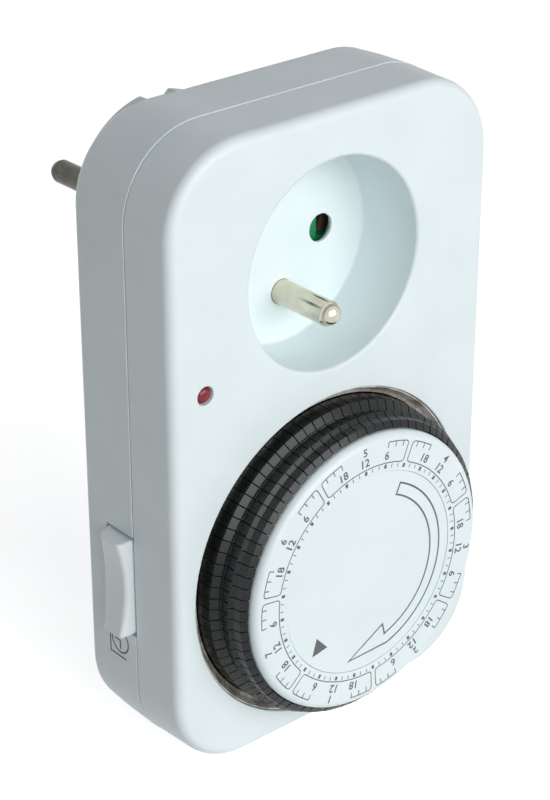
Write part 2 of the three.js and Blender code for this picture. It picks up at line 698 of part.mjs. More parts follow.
// The plate behind the dial: it carries the axles and the motor, and the ears of the trip lever
function movementPlate() {
  const left = -opening.radius * plateLeftShare;
  const high = dialZ + plate.rise;
  const low = bottomZ + wall + plate.lowGap;
  const right = plateRightX;
  const outline = new THREE.Shape([
    [left, low], [notchX, low], [notchX, notchZ], [right, notchZ], [right, high], [left, high],
  ].map(([x, z]) => new THREE.Vector2(x, z)));
  let body = prismY(outline, plateFrontY, plateBackY());
  const cuts = [[plate.hole, [0, dialZ]], [plate.hole, motorPlace]];
  cuts.push([axle.radius + axle.play, firstPlace], [axle.radius + axle.play, secondPlace]);
  const fixings = [...plateFixings, platePeg];
  fixings.forEach((place) => cuts.push([standoff.bore + axle.play, place]));
  for (const side of [-1, 1]) {
    const inZ = leverPlace.z + side * (lever.width * halfShare + running);
    const outZ = inZ + side * lever.earThick;
    body = body.add(block(
      [leverPlace.pivotX - lever.earHalf, leverPlace.pivotX + lever.earHalf],
      [drumGearBackY + gearLayer.step, plateFrontY + plate.thickness * halfShare],
      [Math.min(inZ, outZ), Math.max(inZ, outZ)],
    ));
  }
  for (const [radius, [x, z]] of cuts) {
    body = body.subtract(thinY(radius, plateFrontY - overrun, plateBackY() + overrun, x, z));
  }
  return body.subtract(pivotRod(lever.pin + axle.play, running + lever.earThick + overrun));
}

// The trip lever's pivot, behind the drum's gear
const leverPlace = {
  noseX: leverNoseX,
  z: leverZ,
  pivotX: leverNoseX + leverRadius * leverArmShare,
  pivotY: drumGearBackY + lever.sink + lever.hub,
};

function tripLever() {
  const { noseX, z, pivotX, pivotY } = leverPlace;
  const lowZ = z - lever.width * halfShare;
  const highZ = z + lever.width * halfShare;
  const armY = [pivotY - lever.thick * halfShare, pivotY + lever.thick * halfShare];
  const noseNearY = frontY + tappet.backDepth + tappet.travel + running;
  const noseSpan = [noseX - lever.nose * halfShare, noseX + lever.nose * halfShare];
  const pusherEndY = bladeY() - running;
  let body = block([noseX - lever.end, pivotX], armY, [lowZ, highZ]);
  body = body.add(rodZ(lever.hub, lowZ, highZ, pivotX, pivotY));
  body = body.add(block(noseSpan, [noseNearY, pivotY], [lowZ + running, highZ - running]));
  body = body.add(block(
    [noseX - lever.pusherWide * halfShare, noseX + lever.pusherWide * halfShare],
    [pivotY, pusherEndY], [lowZ + overrun, highZ - overrun],
  ));
  return body.subtract(pivotRod(lever.pin + axle.play, overrun));
}

// A rod on the lever's pivot that stands out past the lever on both sides
function pivotRod(radius, past) {
  const reach = lever.width * halfShare + past;
  const { z, pivotX, pivotY } = leverPlace;
  return rodZ(radius, z - reach, z + reach, pivotX, pivotY);
}

function leverPin() {
  return pivotRod(lever.pin, running + lever.earThick + lever.pinEnd);
}

// The switch's insulating base on the back wall, with a pedestal for the blade's root
const relayBackY = innerBackY - seat;
const relayTopY = relayBackY - relay.top;
const pedestalY = relayTopY - relay.pedestal;

function rootSpanX() {
  return [-relay.right - strip.width, -relay.right];
}

function switchBase() {
  const spanZ = [leverPlace.z - relay.half, leverPlace.z + relay.half];
  const base = block([-relayLeft, -relay.right], [relayTopY, relayBackY], spanZ);
  return base.add(block(rootSpanX(), [pedestalY, relayBackY], spanZ));
}

// The front face of the moving blade
function bladeY() {
  return pedestalY - seat - relay.lap - seat - relay.blade;
}

function contactBlade() {
  const spanZ = [leverPlace.z - relay.half + seat, leverPlace.z + relay.half - seat];
  const nearY = bladeY();
  const body = block([-relayLeft + overrun, -relay.right], [nearY, nearY + relay.blade], spanZ);
  const buttonX = -relayLeft + strip.width * halfShare + overrun;
  return body.add(thinY(relay.button, nearY, nearY + relay.blade + seat, buttonX, leverPlace.z));
}

function fixedContact() {
  const nearY = relayTopY - seat - relay.lap;
  const farY = relayTopY - seat;
  const lowX = -relayLeft + overrun;
  const spanX = [lowX, lowX + strip.width];
  const buttonX = lowX + strip.width * halfShare;
  const body = block(spanX, [nearY, farY], [leverPlace.z - relay.half + seat, relayTailZ()]);
  return body.add(thinY(relay.button, nearY - relay.rise, farY, buttonX, leverPlace.z));
}

// How far above the switch's base the fixed contact's tail reaches
function relayTailZ() {
  return leverPlace.z + relay.half + strip.width;
}

// Straps: flat strips folded along the inside of the case
const strapBackY = innerBackY - running;
const strapFrontY = strapBackY - strip.thick;
const pinLapY = [-collar.tailEndDepth - seat - strip.thick, -collar.tailEndDepth - seat];
const sleeveLapY = [-sleeve.backDepth + seat, -sleeve.backDepth + seat + strip.thick];

function joined(blocks) {
  return blocks.reduce((body, next) => body.add(next));
}

function neutralBar() {
  const spanX = [pins.offset - strip.width * halfShare, pins.offset + strip.width * halfShare];
  const highZ = sleeve.outer;
  const webZ = [highZ - strip.thick, highZ];
  return joined([
    block(spanX, pinLapY, [-sleeve.outer, highZ]),
    block(spanX, sleeveLapY, [-sleeve.outer, highZ]),
    block(spanX, [sleeveLapY[0], pinLapY[1]], webZ),
  ]);
}

// From the live pin past the dial's post to the moving blade
const liveIn = { innerX: 4.9, foldZ: 12.5, crossBelow: 0.4 };

function liveBarIn() {
  const laneX = [-liveIn.innerX - strip.width, -liveIn.innerX];
  const padX = [-pins.offset - collar.tailRadius, -liveIn.innerX];
  const padZ = [-collar.tailRadius, collar.tailRadius];
  const foldZ = [-liveIn.foldZ - strip.thick, -liveIn.foldZ];
  const crossHighZ = dialZ - liveIn.crossBelow;
  const crossZ = [crossHighZ - strip.width, crossHighZ];
  const lastX = rootSpanX();
  const riserZ = [leverPlace.z + relay.half + seat, leverPlace.z + relay.half + seat + strip.thick];
  const lapY = [pedestalY - seat - relay.lap, pedestalY - seat];
  const lapZ = [leverPlace.z - relay.half + seat, riserZ[1]];
  return joined([
    block(padX, pinLapY, padZ),
    block(laneX, pinLapY, [foldZ[0], padZ[1]]),
    block(laneX, [strapFrontY, pinLapY[1]], foldZ),
    block(laneX, [strapFrontY, strapBackY], [crossZ[0], foldZ[1]]),
    block([lastX[0], laneX[1]], [strapFrontY, strapBackY], crossZ),
    block(lastX, [strapFrontY, strapBackY], [riserZ[0], crossZ[1]]),
    block(lastX, [lapY[0], strapBackY], riserZ),
    block(lastX, lapY, lapZ),
  ]);
}

// From the fixed contact up the left side to the live sleeve
const liveOut = { foldX: 15.2, half: 3, laneOut: 20 };

function liveBarOut() {
  const foldX = [-liveOut.foldX - strip.thick, -liveOut.foldX];
  const spanZ = [-liveOut.half, liveOut.half];
  const tailX = -relayLeft + overrun;
  const riserZ = [relayTailZ() - strip.thick, relayTailZ()];
  const shelfZ = [riserZ[0], riserZ[0] + strip.width];
  return joined([
    block([foldX[0], -pins.offset + sleeve.outer], sleeveLapY, spanZ),
    block(foldX, [strapFrontY, sleeveLapY[1]], spanZ),
    block([-liveOut.laneOut, foldX[1]], [strapFrontY, strapBackY], [riserZ[0], spanZ[1]]),
    block([tailX, foldX[1]], [strapFrontY, strapBackY], shelfZ),
    block([tailX, tailX + strip.width], [relayTopY, strapBackY], riserZ),
  ]);
}

// A turned plug pin with its collar behind the end plate
function plugPin() {
  const tipY = pins.length;
  return latheY([
    [0, -collar.tailEndDepth], [collar.tailRadius, -collar.tailEndDepth],
    [collar.tailRadius, collarY - collar.thickness], [collar.radius, collarY - collar.thickness],
    [collar.radius, collarY], [pins.radius, collarY], [pins.radius, tipY - pins.tipRound],
    [pins.radius - pins.tipRound * (1 - Math.SQRT1_2), tipY - pins.tipRound * (1 - Math.SQRT1_2)],
    [pins.radius - pins.tipRound, tipY], [0, tipY],
  ], smallSides);
}

// The insulating disc that clamps the pins' collars
function pinCarrier() {
  const nearY = carrierY - carrier.thickness;
  let body = rodY(bossInner - carrier.clearance, nearY, carrierY);
  for (const [x, z] of carrierPillars) {
    body = body.add(thinY(carrier.pillar, -holder.backDepth + seat, nearY + overrun, x, z));
  }
  for (const side of [-1, 1]) {
    const bore = collar.tailRadius + pins.guide;
    body = body.subtract(thinY(bore, nearY - overrun, overrun, side * pins.offset, 0));
  }
  return body.subtract(thinY(sleeve.bore, nearY - overrun, overrun, 0, -pins.earthDrop));
}

// A spring sleeve that grips one pin of the plug in the outlet
function contactSleeve() {
  const nearY = holderFrontY + seat;
  const slit = block(
    [-sleeve.slit * halfShare, sleeve.slit * halfShare],
    [nearY - overrun, -sleeve.backDepth + overrun],
    [0, sleeve.outer + overrun],
  );
  return tubeY(sleeve.outer, sleeve.inner, nearY, -sleeve.backDepth, 0, 0, smallSides).subtract(slit);
}

// The insulating block that holds the sleeves and guides the shutter
function contactHolder() {
  let body = rodY(holderRadius, holderFrontY, -holder.backDepth);
  for (const side of [-1, 1]) {
    const inZ = side * holder.railIn;
    const outZ = side * holder.railOut;
    body = body.add(block(
      [-holder.railReach, holder.railReach],
      [railFrontY, holderFrontY + overrun],
      [Math.min(inZ, outZ), Math.max(inZ, outZ)],
    ));
    const x = side * pins.offset;
    body = body.subtract(thinY(sleeve.bore, holderFrontY - overrun, -holder.backDepth + overrun, x, 0));
  }
  const nearY = railFrontY - overrun;
  const farY = -holder.backDepth + overrun;
  body = body.subtract(thinY(sleeve.bore, holderFrontY - overrun, farY, 0, -pins.earthDrop));
  body = body.subtract(rodY(earth.collarRadius + running, nearY, holderFrontY, 0, -pins.earthDrop));
  body = body.subtract(block(
    [-liveIn.innerX - strip.width - running, -liveIn.innerX + running],
    [nearY, farY], [-holderRadius - overrun, -liveIn.foldZ + running],
  ));
  return body.subtract(block(
    [-holderRadius - overrun, -liveOut.foldX + running],
    [nearY, farY], [-holderRadius - overrun, liveOut.half + running],
  ));
}

// The outlet's earth pin, with a collar behind the well's floor
function earthPin() {
  const tipY = frontY - earth.proud;
  const collarNearY = railFrontY;
  const collarFarY = railFrontY + earth.collarDepth;
  return latheY([
    [0, tipY], [pins.radius - pins.tipRound, tipY],
    [pins.radius - pins.tipRound * (1 - Math.SQRT1_2), tipY + pins.tipRound * (1 - Math.SQRT1_2)],
    [pins.radius, tipY + pins.tipRound], [pins.radius, collarNearY], [earth.collarRadius, collarNearY],
    [earth.collarRadius, collarFarY], [pins.radius, collarFarY], [pins.radius, -earth.tailBackDepth],
    [0, -earth.tailBackDepth],
  ], smallSides);
}

// The earth receptacle behind it, which takes the wall outlet's earth pin
function earthReceptacle() {
  return tubeY(sleeve.outer, sleeve.inner, -earth.tailBackDepth + seat, collarY, 0, 0, smallSides);
}

// The shutter's ends: it half covers each hole until a plug pushes it aside
function shutterSpan() {
  const reach = pins.offset + well.holeRadius + shutterSize.end;
  return [-reach, reach + shutterSize.farEnd];
}

function shutterSolid() {
  const [lowX, highX] = shutterSpan();
  const nearY = railFrontY;
  const farY = shutterBackY;
  let body = block([lowX, highX], [nearY, farY], [-shutterSize.half, shutterSize.half]);
  for (const side of [-1, 1]) {
    const windowX = side * pins.offset + shutterSize.edge;
    body = body.subtract(block(
      [windowX, windowX + shutterSize.window],
      [nearY - overrun, farY + overrun],
      [-well.holeRadius, well.holeRadius],
    ));
  }
  return body;
}

// The shutter's leaf spring, folded to and fro between its stop and the shutter's end
function shutterSpring() {
  const [lowX] = shutterSpan();
  const { thickness, sway, folds } = shutterLeaf;
  const startX = lowX - shutterSize.travel - shutterLeaf.stopGap + seat;
  const pitch = (lowX - seat - thickness - startX) / folds;
  const spanY = [railFrontY + seat, railFrontY + seat + shutterLeaf.height];
  const pieces = [];
  for (let leg = 0; leg <= folds; leg++) {
    const legX = startX + leg * pitch;
    pieces.push(block([legX, legX + thickness], spanY, [-sway, sway]));
    const side = leg % 2 === 0 ? 1 : -1;
    const turnZ = [side * sway, side * (sway - thickness)].sort((low, high) => low - high);
    if (leg < folds) pieces.push(block([legX, legX + pitch + thickness], spanY, turnZ));
  }
  return joined(pieces);
}

// The rocker button: a saddle-shaped face, drawn about its own pin
function rockerButton() {
  const pivotX = -sideX + rocker.pivotIn;
  const toX = (x) => x - pivotX;
  const outline = [[toX(rockerInnerX), -rocker.half]];
  for (let step = 0; step <= rocker.faceSteps; step++) {
    const share = step / rocker.faceSteps * 2 - 1;
    const proud = rocker.proud - rocker.dip * (1 - share * share);
    outline.push([toX(-sideX - proud), share * rocker.half]);
  }
  outline.push([toX(rockerInnerX), rocker.half], [toX(rockerInnerX), rocker.nose]);
  outline.push([toX(rockerInnerX + rocker.nose), 0], [toX(rockerInnerX), -rocker.nose]);
  const shape = new THREE.Shape(outline.map(([x, z]) => new THREE.Vector2(x, z)));
  const nearY = seamY + running;
  const farY = nearY + rocker.depth;
  const faceY = nearY + rocker.faceDepth;
  const slope = new THREE.Shape([
    new THREE.Vector2(toX(-sideX), farY), new THREE.Vector2(toX(-sideX - rocker.proud), faceY),
    new THREE.Vector2(toX(-sideX - rocker.proud - overrun), farY + overrun),
    new THREE.Vector2(toX(-sideX), farY + overrun),
  ]);
  const height = rocker.half + overrun;
  const cutter = new THREE.ExtrudeGeometry(slope, { depth: height * 2, bevelEnabled: false });
  cutter.translate(0, 0, -height);
  const bore = thinY(rocker.bore, nearY - overrun, farY + overrun);
  return prismY(shape, nearY, farY).subtract(solid(cutter)).subtract(bore);
}

function rockerPin() {
  return thinY(rocker.pin, seamY + running + seat, innerBackY - backFillet * halfShare);
}

function detentSpring() {
  const x = detentX();
  const line = [[x, -detent.reach], [x - detent.bow, 0], [x, detent.reach]];
  const nearY = seamY + detent.front;
  const place = line.map(([at, z]) => [at + detent.thick * halfShare, z - rockerDrop]);
  return prismY(ribbon(place, detent.thick), nearY, nearY + detent.width);
}

// The red lens, its flange behind the front wall
function lampLens() {
  const flangeY = innerFrontY + seat;
  return thinY(lamp.lens, frontY + lamp.sunk, flangeY + lamp.flangeThick * halfShare).add(
    thinY(lamp.flange, flangeY, flangeY + lamp.flangeThick),
  );
}

function neonLamp() {
  const nearY = innerFrontY + seat + lamp.flangeThick + seat;
  const farY = nearY + lamp.glassLong;
  const soft = lamp.glass * halfShare;
  return latheY([
    [0, nearY], [soft, nearY], [lamp.glass, nearY + soft], [lamp.glass, farY], [0, farY],
  ], smallSides);
}

function lampResistor() {
  const y = innerFrontY + seat + lamp.flangeThick + seat + lamp.glassLong + seat + lamp.resistor;
  const reach = lamp.resistorLong * halfShare;
  return rodZ(lamp.resistor, -reach, reach, 0, y);
}

// A case screw, its head sunk into the back
function caseScrew() {
  const headY = backY - screw.sink + seat;
  const head = thinY(screw.head, headY, headY + screw.headThick);
  const shank = thinY(screw.shank, headY - screw.length, headY + overrun);
  const topY = headY + screw.headThick;
  const reach = screw.head - screw.recess;
  const half = screw.recess * halfShare;
  const span = [topY - screw.recessDepth, topY + overrun];
  const cross = block([-reach, reach], span, [-half, half]);
  return head.add(shank).subtract(cross.add(block([-half, half], span, [-reach, reach])));
}

function plateScrew() {
  const farY = plateFrontY - seat;
  const nearY = farY - screw.plateHeadThick;
  const head = thinY(screw.plateHead, nearY, farY);
  const shank = thinY(standoff.bore - axle.play, nearY, farY + screw.plateLong);
  return head.add(shank);
}

// Finishes
function finish(color, roughness, metalness) {
  return new THREE.MeshStandardMaterial({ color, roughness, metalness });
}

const finishes = {
  white: () => finish('#e4ebec', 0.42, 0),
  ivory: () => finish('#eef4f6', 0.38, 0),
  black: () => finish('#1d1f1f', 0.4, 0),
  bright: () => finish('#c8c4ba', 0.15, 1),
  nickel: () => finish('#b9ad97', 0.28, 1),
  brass: () => finish('#b08d4a', 0.35, 1),
  copper: () => finish('#a8663f', 0.35, 1),
  steel: () => finish('#8d9296', 0.4, 1),
  acetal: () => finish('#d9d6c8', 0.5, 0),
  green: () => finish('#0e8a5a', 0.45, 0),
  phenolic: () => finish('#4a3024', 0.5, 0),
  red: () => finish('#8a3040', 0.2, 0),
  glass: () => finish('#e8c9b8', 0.08, 0),
  winding: () => finish('#7a3b22', 0.5, 0),
  ferrite: () => finish('#333437', 0.6, 0),
};

const timer = new THREE.Group();

// Adds a finished piece to a group, at a place given as [x, z]
function place(name, body, finishName, group = timer, [x, z] = [0, 0]) {
  const { vertProperties, triVerts } = body.getMesh();
  const geometry = new THREE.BufferGeometry();
  geometry.setAttribute('position', new THREE.Float32BufferAttribute(vertProperties, 3));
  geometry.setIndex([...triVerts]);
  geometry.computeVertexNormals();
  const mesh = new THREE.Mesh(geometry, finishes[finishName]());
  mesh.name = name;
  mesh.position.set(x, 0, z);
  group.add(mesh);
  return mesh;
}

const dialGroup = new THREE.Group();
dialGroup.position.z = dialZ;
timer.add(dialGroup);

place('front_cover', frontCover(), 'white');
place('rear_cover', rearCover(), 'white');
place('bezel_ring', bezelRing(), 'bright', dialGroup);
place('guard_ring', guardRing(), 'black', dialGroup);
place('centre_disc', centreDisc(), 'ivory', dialGroup);
place('centre_post', centrePost(), 'acetal', dialGroup);
place('scale_ring', scaleRing(), 'ivory', dialGroup);
place('dial_drum', dialDrum(), 'black', dialGroup);
place('tappet_ring', tappetRing(), 'black', dialGroup);
for (let number = 0; number < tappetsPerDay; number++) {
  const name = `tappet_${String(number + 1).padStart(2, '0')}`;
  const single = place(name, tappetSolid(), 'black', dialGroup);
  single.rotation.y = radians(tappetAngle(singleDay * tappetsPerDay + number));
}
place('movement_plate', movementPlate(), 'steel');
place('first_wheel', firstWheel(), 'acetal', timer, firstPlace);
place('second_wheel', secondWheel(), 'acetal', timer, secondPlace);
place('first_axle', axleSolid(upperLayerY - gearLayer.inset), 'steel', timer, firstPlace);
place('second_axle', axleSolid(webBackY + gearLayer.inset), 'steel', timer, secondPlace);
place('motor_rotor', rotorSolid(), 'ferrite', timer, motorPlace);
place('motor_cup', motorCup(), 'steel', timer, motorPlace);
place('motor_coil', motorCoil(), 'winding', timer, motorPlace);
place('trip_lever', tripLever(), 'acetal');
place('lever_pin', leverPin(), 'steel');
place('switch_base', switchBase(), 'phenolic');
place('contact_blade', contactBlade(), 'copper');
place('fixed_contact', fixedContact(), 'brass');
place('rocker_button', rockerButton(), 'white', timer, [-sideX + rocker.pivotIn, -rockerDrop]);
place('rocker_pin', rockerPin(), 'steel', timer, [-sideX + rocker.pivotIn, -rockerDrop]);
place('detent_spring', detentSpring(), 'steel');
place('plug_pin_left', plugPin(), 'nickel', timer, [-pins.offset, 0]);
place('plug_pin_right', plugPin(), 'nickel', timer, [pins.offset, 0]);
place('pin_carrier', pinCarrier(), 'phenolic');
place('contact_left', contactSleeve(), 'copper', timer, [-pins.offset, 0]);
place('contact_right', contactSleeve(), 'copper', timer, [pins.offset, 0]);
place('contact_holder', contactHolder(), 'phenolic');
place('earth_pin', earthPin(), 'nickel', timer, [0, -pins.earthDrop]);
place('earth_receptacle', earthReceptacle(), 'brass', timer, [0, -pins.earthDrop]);
place('shutter', shutterSolid(), 'green');
place('shutter_spring', shutterSpring(), 'steel');
place('neutral_bar', neutralBar(), 'brass');
place('live_bar_in', liveBarIn(), 'brass');
place('live_bar_out', liveBarOut(), 'brass');
place('lamp_lens', lampLens(), 'red', timer, [lampX, lampZ]);
place('neon_lamp', neonLamp(), 'glass', timer, [lampX, lampZ]);
place('lamp_resistor', lampResistor(), 'acetal', timer, [lampX, lampZ]);
screwPlaces.forEach((at, number) => {
  place(`case_screw_${number + 1}`, caseScrew(), 'steel', timer, at);
});
plateFixings.forEach((at, number) => {
  place(`plate_screw_${number + 1}`, plateScrew(), 'steel', timer, at);
});

export default timer;
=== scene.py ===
# %% [markdown]
# # A plug-in timer switch
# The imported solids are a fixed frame: they say where each piece is and what it moves with.
# The pieces below are finer meshes that ride on the same bodies and stand in for the plain solids.
# Everything is drawn in millimetres and turned into metres when a mesh is made.

# %% Frame and units
import json
import math
import bmesh
import bpy
from mathutils import Matrix, Vector


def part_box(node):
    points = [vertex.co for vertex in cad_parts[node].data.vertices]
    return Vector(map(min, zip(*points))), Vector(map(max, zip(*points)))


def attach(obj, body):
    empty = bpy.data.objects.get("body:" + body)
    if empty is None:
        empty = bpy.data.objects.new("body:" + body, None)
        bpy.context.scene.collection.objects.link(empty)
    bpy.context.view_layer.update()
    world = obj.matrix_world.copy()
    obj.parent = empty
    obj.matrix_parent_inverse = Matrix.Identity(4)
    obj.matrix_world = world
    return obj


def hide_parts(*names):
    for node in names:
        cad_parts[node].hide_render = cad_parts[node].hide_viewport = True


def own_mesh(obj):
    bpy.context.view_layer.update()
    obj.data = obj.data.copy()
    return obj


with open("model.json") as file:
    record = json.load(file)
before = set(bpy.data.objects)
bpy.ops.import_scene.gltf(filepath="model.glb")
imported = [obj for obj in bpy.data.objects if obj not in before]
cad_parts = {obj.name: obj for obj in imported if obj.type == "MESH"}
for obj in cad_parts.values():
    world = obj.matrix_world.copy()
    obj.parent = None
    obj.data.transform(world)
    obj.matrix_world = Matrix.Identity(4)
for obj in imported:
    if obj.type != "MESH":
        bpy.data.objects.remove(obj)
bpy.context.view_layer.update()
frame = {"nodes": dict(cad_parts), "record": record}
MM = 0.001


def node_box(node):
    """Lowest and highest corners of a solid, in millimetres."""
    low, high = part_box(node)
    return low / MM, high / MM


def box_centre(node):
    """Middle of a solid seen from the front, as (x, z) in millimetres."""
    low, high = node_box(node)
    return ((low.x + high.x) / 2, (low.z + high.z) / 2)


# %% [markdown]
# ## The camera
# The picture was taken from the left and a little above, with a long lens. The place, the two
# angles and the focal length were fitted to the outline of the case and to the dial's rings.

# %% Camera
CAMERA_PLACE = Vector((-247.26, -321.65, 158.95))
CAMERA_AZIMUTH = math.radians(-40.827)
CAMERA_ELEVATION = math.radians(26.908)
FOCAL_LENGTH = 101.449
SENSOR_WIDTH = 36.0
camera_data = bpy.data.cameras.new("camera")
camera_data.lens = FOCAL_LENGTH
camera_data.sensor_width = SENSOR_WIDTH
camera_data.clip_start = 0.01
camera = bpy.data.objects.new("camera", camera_data)
camera.location = CAMERA_PLACE * MM
camera.rotation_euler = (math.pi / 2 - CAMERA_ELEVATION, 0.0, CAMERA_AZIMUTH)
bpy.context.scene.collection.objects.link(camera)
bpy.context.scene.camera = camera
bpy.context.scene.view_settings.view_transform = "Standard"
print("camera at", tuple(round(value, 1) for value in CAMERA_PLACE), "mm")

# %% [markdown]
# ## Colours and nodes
# Paint and plastic colours are read off as sRGB hex values, but a renderer adds light in linear
# values, so one function turns them. A second small function adds any node with its settings and
# links, so that a material reads as a list of what it is made of. Four more build on it.

# %% Colour and node helpers


def linear(hex_colour):
    """Linear RGBA of an sRGB hex colour."""
    channels = [int(hex_colour[at:at + 2], 16) / 255 for at in (1, 3, 5)]
    return (*(c / 12.92 if c <= 0.04045 else ((c + 0.055) / 1.055) ** 2.4 for c in channels), 1.0)


def add_node(tree, kind, settings=None, links=None):
    """Adds a node, sets its sockets or attributes, and links other nodes' outputs to it."""
    node = tree.nodes.new(kind)
    for name, value in (settings or {}).items():
        if isinstance(name, int) or name in node.inputs:
            node.inputs[name].default_value = value
        else:
            setattr(node, name, value)
    for socket, source in (links or {}).items():
        tree.links.new(source, node.inputs[socket])
    return node


def empty_material(name):
    """A material with only its output node."""
    material = bpy.data.materials.new(name)
    material.use_nodes = True
    material.node_tree.nodes.clear()
    output = material.node_tree.nodes.new("ShaderNodeOutputMaterial")
    return material, material.node_tree, output


def noise(tree, size_mm, detail):
    """A noise with blots of about this size, fixed to the piece."""
    place = add_node(tree, "ShaderNodeTexCoord")
    return add_node(tree, "ShaderNodeTexNoise", {"Scale": 1 / (size_mm * MM), "Detail": detail},
                    {"Vector": place.outputs["Object"]}).outputs["Fac"]


def two_tone(tree, factor, colours, edges=(0.0, 1.0)):
    """Runs from one sRGB colour to another between two values of a noise."""
    ramp = add_node(tree, "ShaderNodeValToRGB", links={"Fac": factor})
    for element, colour, edge in zip(ramp.color_ramp.elements, colours, edges):
        element.color = linear(colour)
        element.position = edge
    return ramp.outputs["Color"]


def wander(tree, factor, least, most):
    """A value that wanders between two ends with a noise."""
    return add_node(tree, "ShaderNodeMapRange", {"To Min": least, "To Max": most},
                    {"Value": factor}).outputs["Result"]


def cover(tree, output, settings, links):
    """The usual shader of a solid surface, linked to the material's output."""
    shader = add_node(tree, "ShaderNodeBsdfPrincipled", settings, links)
    tree.links.new(shader.outputs["BSDF"], output.inputs["Surface"])


print("a half-grey in linear light:", round(linear("#808080")[0], 3))

# %% [markdown]
# ## Moulded plastics
# ABS is a styrene plastic that is injected hot into a steel mould. It copies the mould's fine
# eroded grain, so it looks satin: a diffuse body under a broken, soft gloss. Its refractive index is
# about 1.54. Two noises do it: a slow one for the faint cloudiness of thick and thin walls, and
# a fine one for the grain. The real grain is about 0.05 mm, too fine for this picture, so it
# is drawn several times coarser and very shallow. Black plastic reflects less here, because a
# white room would turn it grey.

# %% Moulded plastic
CLOUD_MM = 14.0
CLOUD_EDGES = (0.35, 0.65)
GRAIN_BUMP = 0.5


def moulded_plastic(name, colour, cloud_colour, roughness, grain_mm, grain_depth_mm, ior=1.54,
                    specular=0.5):
    """A satin moulded plastic with cloudy colour, uneven gloss and a fine grain."""
    material, tree, output = empty_material(name)
    colours = two_tone(tree, noise(tree, CLOUD_MM, 3.0), (cloud_colour, colour), CLOUD_EDGES)
    grain = noise(tree, grain_mm, 4.0)
    bump = add_node(tree, "ShaderNodeBump",
                    {"Strength": GRAIN_BUMP, "Distance": grain_depth_mm * MM}, {"Height": grain})
    cover(tree, output, {"IOR": ior, "Specular IOR Level": specular},
          {"Base Color": colours, "Normal": bump.outputs["Normal"],
           "Roughness": wander(tree, grain, roughness - 0.06, roughness + 0.08)})
    return material


# Cool satin white: reads as a thick moulded shell
WHITE_ABS = moulded_plastic("white_abs_moulded_satin", "#edf8fa", "#e8f4f6", 0.4, 0.5, 0.012)
# A touch glossier, as fingers polish it, and a touch brighter as painted light on its partly shaded
# face
ROCKER_ABS = moulded_plastic("white_abs_rocker_glossy_painted_light", "#f4fcfc", "#f0f9f9", 0.3, 0.6, 0.008)
# Smoother white: it keeps the print sharp
DIAL_ABS = moulded_plastic("white_abs_polished_mould", "#edf8fa", "#e9f5f7", 0.32, 0.8, 0.006)
# Near black: only the faces that look at the lamp turn grey
BLACK_ABS = moulded_plastic("black_abs_moulded_satin", "#0f1517", "#0b1012", 0.26, 0.4, 0.012,
                            specular=0.32)
# Strong green: the shutter shows in the contact holes
GREEN_PBT = moulded_plastic("green_polyester_moulded", "#0e8a5a", "#0a7a50", 0.42, 0.5, 0.01, 1.55)
# Inside: milky waxy gears, the contacts' warm brown carrier and a dull dark magnet
ACETAL = moulded_plastic("natural_acetal_moulded", "#e4e1d4", "#dad7ca", 0.45, 0.5, 0.01, 1.48)
PHENOLIC = moulded_plastic("brown_phenolic_pressed", "#8a6a52", "#765a45", 0.5, 0.4, 0.02, 1.6)
FERRITE = moulded_plastic("bonded_ferrite_pressed", "#333437", "#2a2b2e", 0.6, 0.3, 0.02, 1.6)
print("plastics made")

# %% [markdown]
# ## Metals
# The pins are turned brass with a nickel plate: warm grey, with rings left by the tool. The strips
# inside are rolled, so their lines run one way. Plated steel shows a mottled, cloudy zinc. A metal
# has no colour under its gloss, so its colour goes on the shader's base with metallic at one. The
# bezel's thin chrome on plastic is hazy, so it is only partly metallic, and a second bump dents
# it. The tool's real rings are about 0.1 mm apart, too fine here, so they are drawn coarser.

# %% Metals
BAND_SPACING = 0.3
RING_BUMP = 0.25
RING_DEPTH_MM = 0.004


def turned_metal(name, colour, dark_colour, roughness, ring_mm, metallic=1.0, dent_mm=0.0,
                 stain_and_reflection_mm=3.0, stain_and_reflection_edges=(0.3, 0.7)):
    """A metal turned about a line along Y: faint rings, cloudy stains (the bezel's large light and
    smoky ones are painted reflection) and, if asked, dents.
    """
    material, tree, output = empty_material(name)
    place = add_node(tree, "ShaderNodeTexCoord")
    # At scale one the wave's bands are about 0.3 of a unit apart
    rings = add_node(tree, "ShaderNodeTexWave",
                     {"bands_direction": "Y", "Scale": BAND_SPACING / (ring_mm * MM),
                      "Distortion": 1.5, "Detail": 3.0, "Detail Scale": 2.0},
                     {"Vector": place.outputs["Object"]})
    stains_and_reflections = noise(tree, stain_and_reflection_mm, 5.0)
    bump = add_node(tree, "ShaderNodeBump",
                    {"Strength": RING_BUMP, "Distance": RING_DEPTH_MM * MM},
                    {"Height": rings.outputs["Fac"]})
    dent = add_node(tree, "ShaderNodeBump", {"Strength": 1.0, "Distance": dent_mm * MM},
                    {"Height": stains_and_reflections, "Normal": bump.outputs["Normal"]})
    cover(tree, output, {"Metallic": metallic},
          {"Base Color": two_tone(tree, stains_and_reflections, (dark_colour, colour), stain_and_reflection_edges),
           "Roughness": wander(tree, stains_and_reflections, roughness - 0.05, roughness + 0.1),
           "Normal": dent.outputs["Normal"]})
    return material


# Warm, bright grey: the outlet's earth pin
NICKEL = turned_metal("brass_nickel_plated_turned", "#ded6c4", "#cbc3b0", 0.18, 0.5)
# The same plate painted dark: painted shade for the dark that the plug's pins mirror behind the case
SHADED_NICKEL = turned_metal("brass_nickel_plated_painted_shade", "#615f58", "#4a4842", 0.16, 0.5)
# Light and smoky patches, painted reflection of a creased mirror round the dial; its dents are real
# bumps
CHROME = turned_metal("plastic_chrome_plated", "#f8f5ef", "#a2988a", 0.25, 3.0,
                      metallic=0.35, dent_mm=0.5, stain_and_reflection_mm=4.0, stain_and_reflection_edges=(0.36, 0.62))
# Cold, cloudy grey: screws, axles and springs
STEEL = turned_metal("steel_zinc_plated", "#aab0b4", "#8e9498", 0.35, 0.6)
